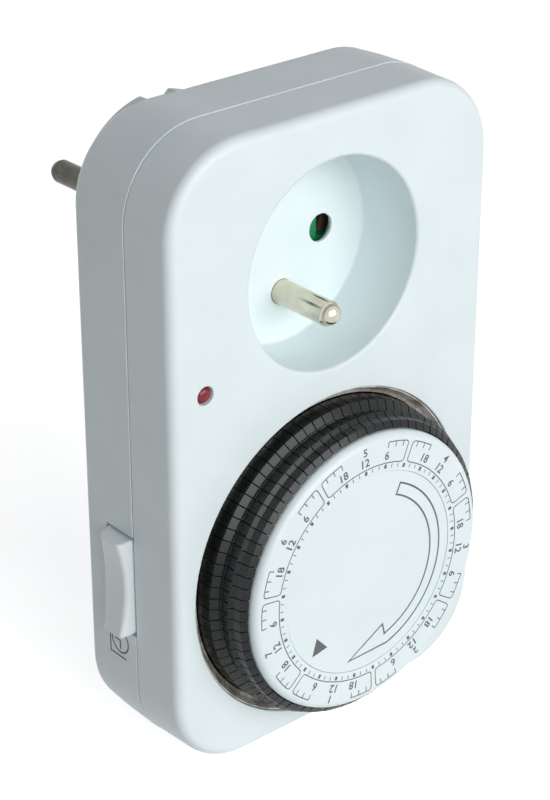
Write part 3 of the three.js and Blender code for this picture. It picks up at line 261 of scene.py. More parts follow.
# Yellow, bronze and red metals tell the strips and the winding apart
BRASS = turned_metal("brass_rolled_strip", "#c29b52", "#a8823d", 0.32, 0.4)
BRONZE = turned_metal("spring_bronze_rolled_strip", "#b0704a", "#93583a", 0.32, 0.4)
WINDING = turned_metal("copper_wire_enamelled_wound", "#8a4526", "#6f331a", 0.38, 0.3)
print("metals made")

# %% [markdown]
# ## Clear plastics, glass and ink
# The lamp's lens is a clear plastic coloured dark red, and the neon lamp behind it is thin glass.
# The dial's marks are pad-printed: a film of grey ink a few hundredths of a millimetre thick, which
# is a little mottled where the pad lifted. The sign on the side is printed darker.

# %% Clear materials and ink
RIPPLE_MM = 1.2
MOTTLE_MM = 0.7


def clear_material(name, colour, roughness, ior, transmission):
    """A tinted clear material with slightly uneven gloss."""
    material, tree, output = empty_material(name)
    gloss = wander(tree, noise(tree, RIPPLE_MM, 2.0), roughness, roughness + 0.1)
    cover(tree, output, {"Base Color": linear(colour), "IOR": ior,
                         "Transmission Weight": transmission}, {"Roughness": gloss})
    return material


def printing_ink(name, colour, thin_colour):
    """A mottled film of ink."""
    material, tree, output = empty_material(name)
    colours = two_tone(tree, noise(tree, MOTTLE_MM, 3.0), (colour, thin_colour))
    cover(tree, output, {"Roughness": 0.45, "IOR": 1.5}, {"Base Color": colours})
    return material


# Deep red that still glints: a lamp that is off
RED_LENS = clear_material("red_polycarbonate_moulded", "#8e0e26", 0.1, 1.5, 0.15)
# Clear with a warm tint: the neon lamp's bulb
GLASS = clear_material("soda_glass_drawn", "#f2e6dd", 0.02, 1.52, 0.9)
# Mid grey and dark violet: print that lies on the face without shine
INK = printing_ink("grey_ink_pad_printed", "#4c4e50", "#6a6c6e")
SIGN_INK = printing_ink("violet_black_ink_pad_printed", "#2c2834", "#403c49")
print("clear materials and ink made")

# %% [markdown]
# ## Finishes for the solids that stay
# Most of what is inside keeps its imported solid, which already has the right shape. Each gets a
# real finish here. The bodies' outer pieces are modelled anew further on.

# %% Finishes by slot
SLOT_FINISH = {
    "white_plastic": WHITE_ABS, "ivory_plastic": DIAL_ABS, "black_plastic": BLACK_ABS,
    "bright_trim": CHROME, "nickel_pins": NICKEL, "brass_strip": BRASS, "copper_strip": BRONZE,
    "steel": STEEL, "acetal": ACETAL, "ferrite": FERRITE, "green_plastic": GREEN_PBT,
    "phenolic": PHENOLIC, "red_lens": RED_LENS, "lamp_glass": GLASS, "winding": WINDING,
}
for part in frame["record"]["subparts"]:
    solid = frame["nodes"][part["node"]]
    solid.data.materials.clear()
    solid.data.materials.append(SLOT_FINISH[part["material_slot"]])

# %% [markdown]
# ## Mesh helpers
# Most pieces here are lofts: rings of points with the same count, joined by quads, with flat
# regions filled between loops. That gives clean closed meshes with exact radii, and every rounded
# edge is real geometry that catches the light.

# %% Mesh helpers
ROUND_STEPS = 144
FILLET_STEPS = 4
HOLE_STEPS = 48
AWAY = 50.0


def ring_at(bm, y, radius, centre=(0.0, 0.0), steps=ROUND_STEPS):
    """A circle of points facing along Y, or one point where the radius is nought."""
    count = steps if radius > 1e-6 else 1
    angles = [2 * math.pi * step / count for step in range(count)]
    return [bm.verts.new((centre[0] + radius * math.cos(a), y, centre[1] + radius * math.sin(a)))
            for a in angles]


def join_rings(bm, first, second, skip=None):
    """Quads between two rings, or triangles to a single point. One step may stay open."""
    if len(first) == 1 or len(second) == 1:
        tip, rim = (first, second) if len(first) == 1 else (second, first)
        for step in range(len(rim)):
            bm.faces.new((tip[0], rim[step], rim[(step + 1) % len(rim)]))
        return
    for step in range(len(first)):
        if step != skip:
            after = (step + 1) % len(first)
            bm.faces.new((first[step], first[after], second[after], second[step]))


def join_all(bm, rings, closed=False):
    """Joins each ring to the next, and the last one to the first if closed."""
    for first, second in zip(rings, rings[1:] + rings[:1] if closed else rings[1:]):
        join_rings(bm, first, second)


def fill_between(bm, loops):
    """Fills the flat region inside the first loop and outside the others."""
    edges = []
    for loop in loops:
        for step, vert in enumerate(loop):
            pair = (vert, loop[(step + 1) % len(loop)])
            edges.append(bm.edges.get(pair) or bm.edges.new(pair))
    bmesh.ops.triangle_fill(bm, use_beauty=True, use_dissolve=False, edges=edges)


print("a full ring has", ROUND_STEPS, "points")

# %% [markdown]
# ## Rounded lines and turned shapes
# A turned shape starts as a line of corners, each with its own fillet. Where a flat face goes on
# past the line's end, the last corner only gives the direction, and lies AWAY or at nought.

# %% Rounded lines and lathes


def rounded(corners, steps=FILLET_STEPS):
    """A line of points from (radius, y, fillet) corners, each fillet an arc."""
    line = []
    for index, (a, b, fillet) in enumerate(corners):
        here = Vector((a, b))
        if not fillet or index in (0, len(corners) - 1):
            line.append(here)
            continue
        back = (Vector(corners[index - 1][:2]) - here).normalized()
        ahead = (Vector(corners[index + 1][:2]) - here).normalized()
        half = back.angle(ahead) / 2
        middle = here + (back + ahead).normalized() * fillet / math.sin(half)
        start = here + back * fillet / math.tan(half) - middle
        sweep = start.angle_signed(here + ahead * fillet / math.tan(half) - middle)
        for step in range(steps + 1):
            line.append(middle + Matrix.Rotation(-sweep * step / steps, 2) @ start)
    return line


def lathe(bm, line, centre=(0.0, 0.0), steps=ROUND_STEPS, closed=False):
    """Turns a line of (radius, y) points about an axis along Y and returns its end rings."""
    rings = [ring_at(bm, y, radius, centre, steps) for radius, y in line]
    join_all(bm, rings, closed)
    return rings[0], rings[-1]


def cut_holes(bm, holes, corners):
    """Lathes each (centre, radius) hole and returns the loops at both ends of them.

    The corners' radii are added to the hole's own, and the first corner isn't drawn."""
    ends = []
    for centre, radius in holes:
        line = rounded([(radius + more, y, fillet) for more, y, fillet in corners])
        ends.append(lathe(bm, line[1:], centre, HOLE_STEPS))
    return [end[0] for end in ends], [end[1] for end in ends]


print("a rounded corner has", len(rounded([(0, 0, 0), (1, 0, 0.2), (1, 1, 0)])) - 2, "points")

# %% [markdown]
# ## Making a piece
# Doubled points are merged, the faces turned outwards, the piece tied to the body that it moves
# with, and the solid that it stands for hidden. Weighted normals keep large flat faces flat.

# %% Making a piece
SHARP_ANGLE = math.radians(32.0)


def mesh_object(name, bm, material):
    """Turns a mesh drawn in millimetres into an object in metres."""
    bmesh.ops.scale(bm, vec=(MM, MM, MM), verts=bm.verts)
    mesh = bpy.data.meshes.new(name)
    bm.to_mesh(mesh)
    bm.free()
    mesh.materials.append(material)
    thing = bpy.data.objects.new(name, mesh)
    bpy.context.scene.collection.objects.link(thing)
    return thing


def make_piece(name, bm, material, body, stands_for=()):
    """Turns a mesh drawn in millimetres into a piece that rides on a body."""
    bmesh.ops.remove_doubles(bm, verts=bm.verts, dist=1e-5)
    bmesh.ops.recalc_face_normals(bm, faces=bm.faces)
    open_edges = sum(1 for edge in bm.edges if not edge.is_manifold)
    piece = mesh_object(name, bm, material)
    mesh = piece.data
    mesh.polygons.foreach_set("use_smooth", [True] * len(mesh.polygons))
    mesh.set_sharp_from_angle(angle=SHARP_ANGLE)
    piece.modifiers.new("flat faces stay flat", "WEIGHTED_NORMAL").keep_sharp = True
    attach(piece, body)
    if stands_for:
        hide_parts(*stands_for)
    print(name, "faces", len(mesh.polygons), "open edges", open_edges)
    return piece


# %% [markdown]
# ## Where things are
# The lines that several pieces share, read off the frame's solids so that the finer meshes sit
# exactly where the solids are.

# %% Shared places
case_low, case_high = node_box("front_cover")
FRONT_Y = case_low.y
BACK_Y = -25.0
RIM_Y = -40.3
HIGH_Z = case_high.z
LOW_Z = case_low.z
SIDE_X = case_high.x
MIDDLE_Z = (HIGH_Z + LOW_Z) / 2
CORNER_RADIUS = 16.5
DIAL_Z = box_centre("scale_ring")[1]
DIAL_CENTRE = (0.0, DIAL_Z)
PIN_X = 9.5
EARTH_Z = -10.0
PIN_PLACES = [(-PIN_X, 0.0), (PIN_X, 0.0), (0.0, EARTH_Z)]
WALL = 2.2
WELL_FLOOR_Y = -37.3
WELL_BACK_Y = -35.0
LAMP_CENTRE = (-30.0, -16.0)
SLOT_Z = (-67.55, -46.45)
SLOT_BACK_Y = -32.1
OPENING_RADIUS = 33.0
print("case", round(SIDE_X * 2, 1), "x", round(HIGH_Z - LOW_Z, 1), "mm, dial at z", round(DIAL_Z, 1))

# %% [markdown]
# ## The case's outline
# The case is a rounded rectangle. A moulded wall leans in a little, its draft, so that it leaves
# the mould. Each ring keeps the corners' centres and only changes the corners' radius, which leans
# all the walls alike.

# %% Case outline
CORNER_STEPS = 14


def case_ring(bm, y, inset, slot_points=False):
    """The case's outline at one depth, moved in by an inset."""
    radius = CORNER_RADIUS - inset
    reach_x = SIDE_X - CORNER_RADIUS
    reach_z = (HIGH_Z - LOW_Z) / 2 - CORNER_RADIUS
    points = []
    for corner, (sign_x, sign_z) in enumerate(((1, 1), (-1, 1), (-1, -1), (1, -1))):
        for step in range(CORNER_STEPS + 1):
            angle = (corner + step / CORNER_STEPS) * math.pi / 2
            points.append((sign_x * reach_x + radius * math.cos(angle),
                           MIDDLE_Z + sign_z * reach_z + radius * math.sin(angle)))
        if corner == 1 and slot_points:
            points += [(-SIDE_X + inset, SLOT_Z[1]), (-SIDE_X + inset, SLOT_Z[0])]
    return [bm.verts.new((x, y, z)) for x, z in points]


def loft(bm, line):
    """Joins case rings from a line of (inset, y) points and returns them all."""
    rings = [case_ring(bm, y, inset) for inset, y in line]
    join_all(bm, rings)
    return rings


print("each corner of the case has", CORNER_STEPS, "steps")

# %% [markdown]
# ## The front cover
# One white moulding: a flat front with a soft edge, the round well of the outlet, the dial's
# opening and a small hole for the lamp. It is one closed mesh with its walls and its inside, with
# every hole's edge rounded as the mould leaves it.

# %% Front cover
FRONT_DRAFT = 0.55
FRONT_ROUND = 2.1
SEAM_DRAFT = 0.14
SEAM_GAP = 0.1
LIP_INSET = 1.0
LIP_DEPTH = 1.8
WELL_RADIUS = 20.0
WELL_FOOT = 19.85
WELL_OUTSIDE = 21.8
COLLAR_DEPTH = 6.0
COLLAR_STEP = 0.7
LAMP_HOLE = 1.75
WELL_HOLE_RADII = (2.75, 2.75, 2.45)
HOLE_LAND = 0.7
HOLE_RELIEF = 1.2
bm = bmesh.new()
inner_y = FRONT_Y + WALL
rim = RIM_Y - SEAM_GAP
# The outside, over the front edge to the seam, and back along the inside
outside = rounded([(AWAY, FRONT_Y, 0), (FRONT_DRAFT, FRONT_Y, FRONT_ROUND),
                   (SEAM_DRAFT, rim, 0.15), (LIP_INSET, rim, 0.1),
                   (LIP_INSET, rim - LIP_DEPTH, 0.1), (WALL, rim - LIP_DEPTH, 0.1),
                   (WALL, inner_y, 0), (AWAY, inner_y, 0)], steps=6)
rings = loft(bm, [(inset, y) for inset, y in outside[1:-1]])
# The outlet's well, the dial's opening with its collar, and the lamp's hole
well = rounded([(AWAY, FRONT_Y, 0), (WELL_RADIUS, FRONT_Y, 0.7),
                (WELL_FOOT, WELL_FLOOR_Y, 0.8), (0.0, WELL_FLOOR_Y, 0)])
well_front, well_floor = lathe(bm, well[1:-1])
collar_y = FRONT_Y + COLLAR_DEPTH
collar_radius = OPENING_RADIUS + COLLAR_STEP
opening = rounded([(AWAY, FRONT_Y, 0), (OPENING_RADIUS, FRONT_Y, 0.3),
                   (OPENING_RADIUS, collar_y, 0.2), (collar_radius, collar_y, 0.2),
                   (collar_radius, inner_y, 0)])
opening_front, opening_back = lathe(bm, opening[1:], DIAL_CENTRE)
lamp_front, lamp_back = cut_holes(bm, [(LAMP_CENTRE, LAMP_HOLE)],
                                  [(AWAY, FRONT_Y, 0), (0, FRONT_Y, 0.25), (0, inner_y, 0)])
fill_between(bm, [rings[0], well_front, opening_front, *lamp_front])
well_outside = ring_at(bm, inner_y, WELL_OUTSIDE)
floor_edge = ring_at(bm, WELL_BACK_Y, WELL_OUTSIDE)
join_rings(bm, well_outside, floor_edge)
fill_between(bm, [rings[-1], well_outside, opening_back, *lamp_back])
# The well's holes have a thin edge in front and are wider behind it
land_y = WELL_FLOOR_Y + HOLE_LAND
front_loops, back_loops = cut_holes(bm, zip(PIN_PLACES, WELL_HOLE_RADII), [
    (AWAY, WELL_FLOOR_Y, 0), (0, WELL_FLOOR_Y, 0.15), (0, land_y, 0),
    (HOLE_RELIEF, land_y, 0), (HOLE_RELIEF, WELL_BACK_Y, 0)])
fill_between(bm, [well_floor, *front_loops])
fill_between(bm, [floor_edge, *back_loops])
make_piece("front_cover_moulding", bm, WHITE_ABS, "case", ["front_cover"])

# %% [markdown]
# ## The rear cover
# The second half of the case: its rim stands a hair proud of the front cover, which is what draws
# the bright line down the seam. A slot for the rocker is cut in its left wall, and the plug's
# round boss stands on its back with two grooves that guide it in the wall outlet.

# %% Rear cover
BACK_DRAFT = 0.65
BACK_ROUND = 2.1
SLOT_INSET = 0.2
RIM_INSET = 0.05
REAR_LIP_INSET = 1.2
REAR_LIP_DEPTH = 1.6
BOSS_RADIUS = 19.0
BOSS_STEPS = 120
GROOVE_HALF = 3.0
GROOVE_DEPTH = 1.0
CAVITY_RADIUS = 17.0
CAVITY_END_Y = -2.5
SCREW_WELL = 3.0
SCREW_WELL_DEPTH = 4.0
SCREW_HOLE = 1.7
SCREW_POST = 3.6
SCREW_POST_DEPTH = 6.0
BOSS_HOLE_RADII = (2.5, 2.5, 3.0)
SCREW_NAMES = [f"case_screw_{number}" for number in range(1, 5)]


def boss_ring(bm, y, radius):
    """The boss's outline, with a groove above and below."""
    points = []
    for step in range(BOSS_STEPS):
        angle = 2 * math.pi * (step + 0.5) / BOSS_STEPS
        x, z = radius * math.cos(angle), radius * math.sin(angle)
        if abs(x) < GROOVE_HALF:
            z = math.copysign(math.sqrt(radius ** 2 - GROOVE_HALF ** 2) - GROOVE_DEPTH, z)
        points.append(bm.verts.new((x, y, z)))
    return points


def shell_with_slot(bm, line):
    """Joins case rings from a line of (inset, y) points, leaving the rocker's slot open."""
    rings = [case_ring(bm, y, inset, True) for inset, y in line]
    levels = [index for index, (_, y) in enumerate(line) if abs(y - SLOT_BACK_Y) < 1e-4]
    low, high = levels[0], levels[-1]
    slot_start = 2 * (CORNER_STEPS + 1)
    for index, (first, second) in enumerate(zip(rings, rings[1:])):
        join_rings(bm, first, second, slot_start if low <= index < high else None)
    ends = (slot_start, slot_start + 1)
    bm.faces.new((rings[low][ends[0]], rings[low][ends[1]], rings[high][ends[1]],
                  rings[high][ends[0]]))
    for end in ends:
        bm.faces.new([ring[end] for ring in rings[low:high + 1]])
    return rings


bm = bmesh.new()
rim = RIM_Y + SEAM_GAP
inner_y = BACK_Y - WALL
lip_y = RIM_Y - REAR_LIP_DEPTH
outside = rounded([(AWAY, BACK_Y, 0), (BACK_DRAFT, BACK_Y, BACK_ROUND),
                   (SLOT_INSET, SLOT_BACK_Y, 0), (RIM_INSET, rim, 0.12),
                   (REAR_LIP_INSET, rim, 0.1), (REAR_LIP_INSET, lip_y, 0.15),
                   (WALL, lip_y, 0.15), (WALL, SLOT_BACK_Y, 0), (WALL, inner_y, 0),
                   (AWAY, inner_y, 0)], steps=5)[1:-1]
rings = shell_with_slot(bm, outside)
boss_line = rounded([(AWAY, BACK_Y, 0), (BOSS_RADIUS, BACK_Y, 0.6),
                     (BOSS_RADIUS, 0.0, 1.0), (0.0, 0.0, 0)])[1:-1]
boss_rings = [boss_ring(bm, y, radius) for radius, y in boss_line]
join_all(bm, boss_rings)
# The screws' wells from behind, each with a post inside
head_y, post_y = BACK_Y - SCREW_WELL_DEPTH, BACK_Y - SCREW_POST_DEPTH
back_loops, inner_loops = cut_holes(bm, [(box_centre(name), 0.0) for name in SCREW_NAMES], [
    (AWAY, BACK_Y, 0), (SCREW_WELL, BACK_Y, 0.08), (SCREW_WELL, head_y, 0.2),
    (SCREW_HOLE, head_y, 0.1), (SCREW_HOLE, post_y, 0),
    (SCREW_POST, post_y, 0), (SCREW_POST, inner_y, 0)])
fill_between(bm, [rings[0], boss_rings[0], *back_loops])
# The boss's hollow and the three holes in its end
cavity = ring_at(bm, inner_y, CAVITY_RADIUS)
cavity_end = ring_at(bm, CAVITY_END_Y, CAVITY_RADIUS)
join_rings(bm, cavity, cavity_end)
fill_between(bm, [rings[-1], cavity, *inner_loops])
end_loops, plate_loops = cut_holes(bm, zip(PIN_PLACES, BOSS_HOLE_RADII), [
    (AWAY, 0.0, 0), (0, 0.0, 0.25), (0, CAVITY_END_Y, 0)])
fill_between(bm, [boss_rings[-1], *end_loops])
fill_between(bm, [cavity_end, *plate_loops])
make_piece("rear_cover_moulding", bm, WHITE_ABS, "case", ["rear_cover"])

# %% [markdown]
# ## The dial's bright bezel and black guard
# A chromed funnel lines the opening's edge and dips to the tappets' feet. From the camera's side
# the case hides it, so it only shows where one looks along the gap. A black ring under it carries
# it. Both are turned shapes, so each is a short line of points lathed about the dial's axis.

# %% Bezel and guard


def turned_piece(name, corners, material, body, stands_for, centre, closed=True,
                 fillet_steps=FILLET_STEPS, steps=ROUND_STEPS):
    """A lathed piece from (radius, y, fillet) corners."""
    bm = bmesh.new()
    line = rounded(corners, fillet_steps)
    lathe(bm, line[:-1] if closed else line, centre, steps, closed)
    make_piece(name, bm, material, body, stands_for)


BEZEL_INNER = 31.2
BEZEL_OUTER = 32.88
BEZEL_TOP_Y = FRONT_Y + 0.5
BEZEL_FOOT_Y = FRONT_Y + 2.2
BEZEL_BACK_Y = BEZEL_FOOT_Y + 0.5
turned_piece("bezel_ring_bright", [
    (32.0, BEZEL_BACK_Y, 0), (BEZEL_INNER, BEZEL_BACK_Y, 0.1), (BEZEL_INNER, BEZEL_FOOT_Y, 0.15),
    (31.9, BEZEL_FOOT_Y - 0.35, 1.0), (32.7, BEZEL_TOP_Y, 0.1), (BEZEL_OUTER, BEZEL_TOP_Y, 0.05),
    (BEZEL_OUTER, BEZEL_BACK_Y, 0.05), (32.0, BEZEL_BACK_Y, 0),
], CHROME, "case", ["bezel_ring"], DIAL_CENTRE)
GUARD_OUTER = 32.2
GUARD_FLANGE = 33.5
GUARD_TOP_Y = BEZEL_FOOT_Y + 0.75
GUARD_FLANGE_Y = FRONT_Y + 6.25
GUARD_BACK_Y = GUARD_FLANGE_Y + 1.2
turned_piece("guard_ring_black", [
    (31.5, GUARD_TOP_Y, 0), (GUARD_OUTER, GUARD_TOP_Y, 0.2), (GUARD_OUTER, GUARD_FLANGE_Y, 0.1),
    (GUARD_FLANGE, GUARD_FLANGE_Y, 0.1), (GUARD_FLANGE, GUARD_BACK_Y, 0.1),
    (BEZEL_INNER, GUARD_BACK_Y, 0.1), (BEZEL_INNER, GUARD_TOP_Y, 0.2), (31.5, GUARD_TOP_Y, 0),
], BLACK_ABS, "case", ["guard_ring"], DIAL_CENTRE)

# %% [markdown]
# ## The tappets
# Eighty-four black tappets stand round the dial, twelve to a day, one for every two hours. Each is
# a wedge: a sloping foot, a waist, a raised bead that a fingernail catches, and a flat top. One
# wedge is drawn with its edges softened, then copied round the ring. Twelve of them slide on
# their own. The others ride the dial as one piece, a few hundredths of a millimetre off level.

# %% Tappets
TAPPET_COUNT = 84
TAPPETS_PER_DAY = 12
DAY_EDGE = 22.0
SINGLE_DAY = 5
TAPPET_GAP = 0.17
TAPPET_SOFTNESS = 0.07
TAPPET_UNEVEN = 0.04
UNEVEN_TURN = 2.4
TAPPET_LINE = [
    (28.1, -8.0), (31.0, -8.0), (31.0, -1.2), (30.92, 1.28), (29.6, 2.2), (29.2, 2.35),
    (29.2, 5.4), (30.45, 5.75), (29.65, 6.4), (29.45, 8.0), (28.15, 8.75),
]


def tappet_mesh():
    """One tappet at the top of the dial, from (radius, height above the front) corners."""
    bm = bmesh.new()
    slope = math.tan(math.pi / TAPPET_COUNT)
    sides = []
    for sign in (-1, 1):
        sides.append([bm.verts.new((sign * (radius * slope - TAPPET_GAP / 2), FRONT_Y - height, radius))
                      for radius, height in TAPPET_LINE])
    join_rings(bm, *sides)
    bm.faces.new(sides[0])
    bm.faces.new(sides[1])
    bmesh.ops.bevel(bm, geom=bm.edges[:], offset=TAPPET_SOFTNESS, segments=2, affect="EDGES",
                    profile=0.5, clamp_overlap=True)
    mesh = bpy.data.meshes.new("tappet")
    bm.to_mesh(mesh)
    bm.free()
    return mesh


TAPPET = tappet_mesh()


def place_tappet(bm, number, rise=0.0):
    """Adds a tappet at its place round the dial."""
    known = len(bm.verts)
    bm.from_mesh(TAPPET)
    bm.verts.ensure_lookup_table()
    angle = math.radians(DAY_EDGE + (number + 0.5) * 360 / TAPPET_COUNT)
    turn = Matrix.Translation((0.0, -rise, DIAL_Z)) @ Matrix.Rotation(angle, 4, "Y")
    bmesh.ops.transform(bm, matrix=turn, verts=bm.verts[known:])


ring = bmesh.new()
for number in range(TAPPET_COUNT):
    if number // TAPPETS_PER_DAY == SINGLE_DAY:
        single = bmesh.new()
        place_tappet(single, number)
        name = f"tappet_{number % TAPPETS_PER_DAY + 1:02d}"
        make_piece(name + "_moulding", single, BLACK_ABS, name, [name])
    else:
        place_tappet(ring, number, TAPPET_UNEVEN * math.sin(number * UNEVEN_TURN))
make_piece("tappet_ring_moulding", ring, BLACK_ABS, "dial", ["tappet_ring"])

# %% [markdown]
# ## The white scale and the centre disc
# The scale ring turns with the tappets, and the disc inside it stands still. A fine groove parts
# them. Both faces are smooth, so the print stays sharp. Behind the disc a short socket sits on the
# centre post.

# %% Scale ring and centre disc
SCALE_FACE_Y = FRONT_Y - 10.27
SCALE_BACK_Y = FRONT_Y - 7.6
SCALE_OUTER = 27.95
SCALE_INNER = 20.42
turned_piece("scale_ring_moulding", [
    (24.0, SCALE_FACE_Y, 0), (SCALE_OUTER, SCALE_FACE_Y, 1.5), (SCALE_OUTER, SCALE_BACK_Y, 0.1),
    (SCALE_INNER, SCALE_BACK_Y, 0.1), (SCALE_INNER, SCALE_FACE_Y, 0.08), (24.0, SCALE_FACE_Y, 0),
], DIAL_ABS, "dial", ["scale_ring"], DIAL_CENTRE, fillet_steps=6)
DISC_FACE_Y = FRONT_Y - 10.17
DISC_BACK_Y = FRONT_Y - 8.6
DISC_RADIUS = 20.34
SOCKET_OUTER = 5.0
SOCKET_RADIUS = 2.7
SOCKET_END_Y = FRONT_Y - 5.0
SOCKET_FLOOR_Y = FRONT_Y - 8.5
turned_piece("centre_disc_moulding", [
    (0.0, DISC_FACE_Y, 0), (DISC_RADIUS, DISC_FACE_Y, 0.08), (DISC_RADIUS, DISC_BACK_Y, 0.1),
    (SOCKET_OUTER, DISC_BACK_Y, 0.1), (SOCKET_OUTER, SOCKET_END_Y, 0.2),
    (SOCKET_RADIUS, SOCKET_END_Y, 0.2), (SOCKET_RADIUS, SOCKET_FLOOR_Y, 0),
    (0.0, SOCKET_FLOOR_Y, 0),
], DIAL_ABS, "case", ["centre_disc"], DIAL_CENTRE, closed=False)

# %% [markdown]
# ## Printing
# A printed line is a thin closed ribbon of ink that lies on the face. Its path is drawn with the
# dial's polar places, a radius and a clockwise angle from the top, then given a width. The same
# strip makes the sign on the case's side and, much thicker, the shutter's spring.

# %% Ink ribbons
INK_HALF = 0.015
MITRE_LIMIT = 0.35


def polar(radius, angle):
    """The (x, z) place at a radius and a clockwise angle in degrees from the top."""
    return Vector((radius * math.sin(math.radians(angle)), radius * math.cos(math.radians(angle))))


def arc(radius, start, end, step=1.5):
    """Places along an arc between two clockwise angles."""
    count = max(2, math.ceil(abs(end - start) / step))
    return [polar(radius, start + (end - start) * turn / count) for turn in range(count + 1)]


def slab(bm, outline, face_y):
    """A thin closed plate of ink with that outline, on the plane at face_y."""
    top = [bm.verts.new((x, face_y - INK_HALF, z)) for x, z in outline]
    low = [bm.verts.new((x, face_y + INK_HALF, z)) for x, z in outline]
    join_rings(bm, top, low)
    bm.faces.new(top)
    bm.faces.new(low)


def ribbon(bm, path, width, face_y, closed=False, half_height=INK_HALF):
    """A strip along a path of (x, z) places, mitred where it turns."""
    count = len(path)
    rings = []
    for index, here in enumerate(path):
        before = path[index - 1] if index or closed else here
        after = path[(index + 1) % count] if index < count - 1 or closed else here
        ways = [way.normalized() for way in (here - before, after - here) if way.length > 1e-6]
        along = sum(ways, Vector((0.0, 0.0))).normalized()
        side = Vector((-along.y, along.x))
        reach = side * width / 2 / max(MITRE_LIMIT, side.dot(Vector((-ways[0].y, ways[0].x))))
        rings.append([bm.verts.new((place.x, face_y + lift * half_height, place.y))
                      for place, lift in ((here + reach, -1), (here - reach, -1),
                                          (here - reach, 1), (here + reach, 1))])
    join_all(bm, rings, closed)
    if not closed:
        bm.faces.new(rings[0])
        bm.faces.new(rings[-1])


print("ink is", 2 * INK_HALF, "mm thick")

# %% [markdown]
# ## The dial's figures
# Plain figures are set as text, turned into meshes and laid on the scale with their heads
# outwards. The days are numbered one to seven, and the hours read 6, 12 and 18.

# %% Figures
FIGURE_BOLDER = 0.018


def figure(bm, text, height, radius, angle, face_y):
    """Lays a figure on the dial at a radius and a clockwise angle, its head outwards."""
    curve = bpy.data.curves.new("figure", "FONT")
    curve.body = text
    curve.extrude = 1.0
    curve.resolution_u = 3
    curve.offset = FIGURE_BOLDER
    holder = bpy.data.objects.new("figure", curve)
    mesh = bpy.data.meshes.new_from_object(holder)
    low = Vector(min(vert.co[axis] for vert in mesh.vertices) for axis in range(3))
    high = Vector(max(vert.co[axis] for vert in mesh.vertices) for axis in range(3))
    size = height / (high.y - low.y)
    outwards, along = polar(1.0, angle), polar(1.0, angle + 90)
    verts = []
    for vert in mesh.vertices:
        point = (vert.co - (low + high) / 2) * size
        x, z = along * point.x + outwards * (radius + point.y)
        verts.append(bm.verts.new((x, face_y - math.copysign(INK_HALF, point.z), z)))
    for face in mesh.polygons:
        bm.faces.new([verts[index] for index in face.vertices])
    bpy.data.objects.remove(holder)
    bpy.data.curves.remove(curve)
    bpy.data.meshes.remove(mesh)


# %% [markdown]
# ## The scale's print
# An open line frames each day, and a tick marks every second hour. Both ends of the frame use the
# same numbers with opposite signs.

# %% Scale print
DAYS = 7
DAY_SPAN = 360 / DAYS
HOUR = DAY_SPAN / 24
THIN_LINE = 0.2
FRAME_OUTER = 26.3
FRAME_INNER = 22.15
FRAME_GAP = 1.3
DAY_TICK_END = 25.2
HOUR_TICK_START = 21.85
BOLD_TICK = (21.05, 0.6)
FINE_TICK = (21.1, 0.16)
HOUR_FIGURE = (1.7, 23.6)
DAY_FIGURE = (1.6, 25.75)
scale_ink = bmesh.new()
for day in range(DAYS):
    late_edge = DAY_EDGE + day * DAY_SPAN
    early_edge = late_edge + DAY_SPAN
    ends = ((late_edge, 1), (early_edge, -1))
    outline = []
    for edge, way in ends:
        first = edge + way * FRAME_GAP
        half = arc(FRAME_OUTER, edge + way * 6 * HOUR, first + way * 1.4)
        half += [polar(26.12, first + way * 0.4), polar(25.7, first), polar(22.75, first),
                 polar(22.33, first + way * 0.5), polar(FRAME_INNER, first + way * 1.6)]
        inner = arc(FRAME_INNER, late_edge + 4, early_edge - 4)
        outline += half if way == 1 else inner + half[::-1]
    ribbon(scale_ink, outline, THIN_LINE, SCALE_FACE_Y)
    for edge, way in ends:
        for hours in (2, 4, 6):
            at = edge + way * hours * HOUR
            ribbon(scale_ink, [polar(FRAME_OUTER, at), polar(DAY_TICK_END, at)], THIN_LINE,
                   SCALE_FACE_Y)
    for hours in range(0, 24, 2):
        at = early_edge - hours * HOUR
        end, width = BOLD_TICK if hours % 6 == 0 else FINE_TICK
        ribbon(scale_ink, [polar(HOUR_TICK_START, at), polar(end, at)], width, SCALE_FACE_Y)
    for hours in (6, 12, 18):
        figure(scale_ink, str(hours), *HOUR_FIGURE, early_edge - hours * HOUR, SCALE_FACE_Y)
    figure(scale_ink, str((3 - day) % DAYS + 1), *DAY_FIGURE, early_edge - 12 * HOUR, SCALE_FACE_Y)
bmesh.ops.translate(scale_ink, vec=(0.0, 0.0, DIAL_Z), verts=scale_ink.verts)
make_piece("scale_ring_print", scale_ink, INK, "dial")

# %% [markdown]
# ## The arrow and the pointer
# On the still disc an outlined arrow shows which way the dial turns, and a small solid triangle
# is the pointer at which the time is read.

# %% Arrow and pointer
ARROW_LINE = 0.35
ARROW_OUTER, ARROW_INNER = 18.0, 15.65
ARROW_TAIL, ARROW_NECK = 24.3, 164.2
ARROW_TIP = polar(18.2, 195.3)
ARROW_BARBS = [polar(13.3, 163.8), polar(15.75, 164.2)]
POINTER_ANGLE, POINTER_HALF = 227.8, 7.2
POINTER_TIP, POINTER_FOOT = 18.9, 15.8
disc_ink = bmesh.new()
arrow = arc(ARROW_OUTER, ARROW_TAIL, ARROW_NECK, 2.5) + [ARROW_TIP] + ARROW_BARBS
arrow += arc(ARROW_INNER, 160.0, ARROW_TAIL, 2.5)
ribbon(disc_ink, arrow, ARROW_LINE, DISC_FACE_Y, closed=True)
slab(disc_ink, [polar(POINTER_TIP, POINTER_ANGLE),
                polar(POINTER_FOOT, POINTER_ANGLE + POINTER_HALF),
                polar(POINTER_FOOT, POINTER_ANGLE - POINTER_HALF)], DISC_FACE_Y)
bmesh.ops.translate(disc_ink, vec=(0.0, 0.0, DIAL_Z), verts=disc_ink.verts)
make_piece("centre_disc_print", disc_ink, INK, "case")

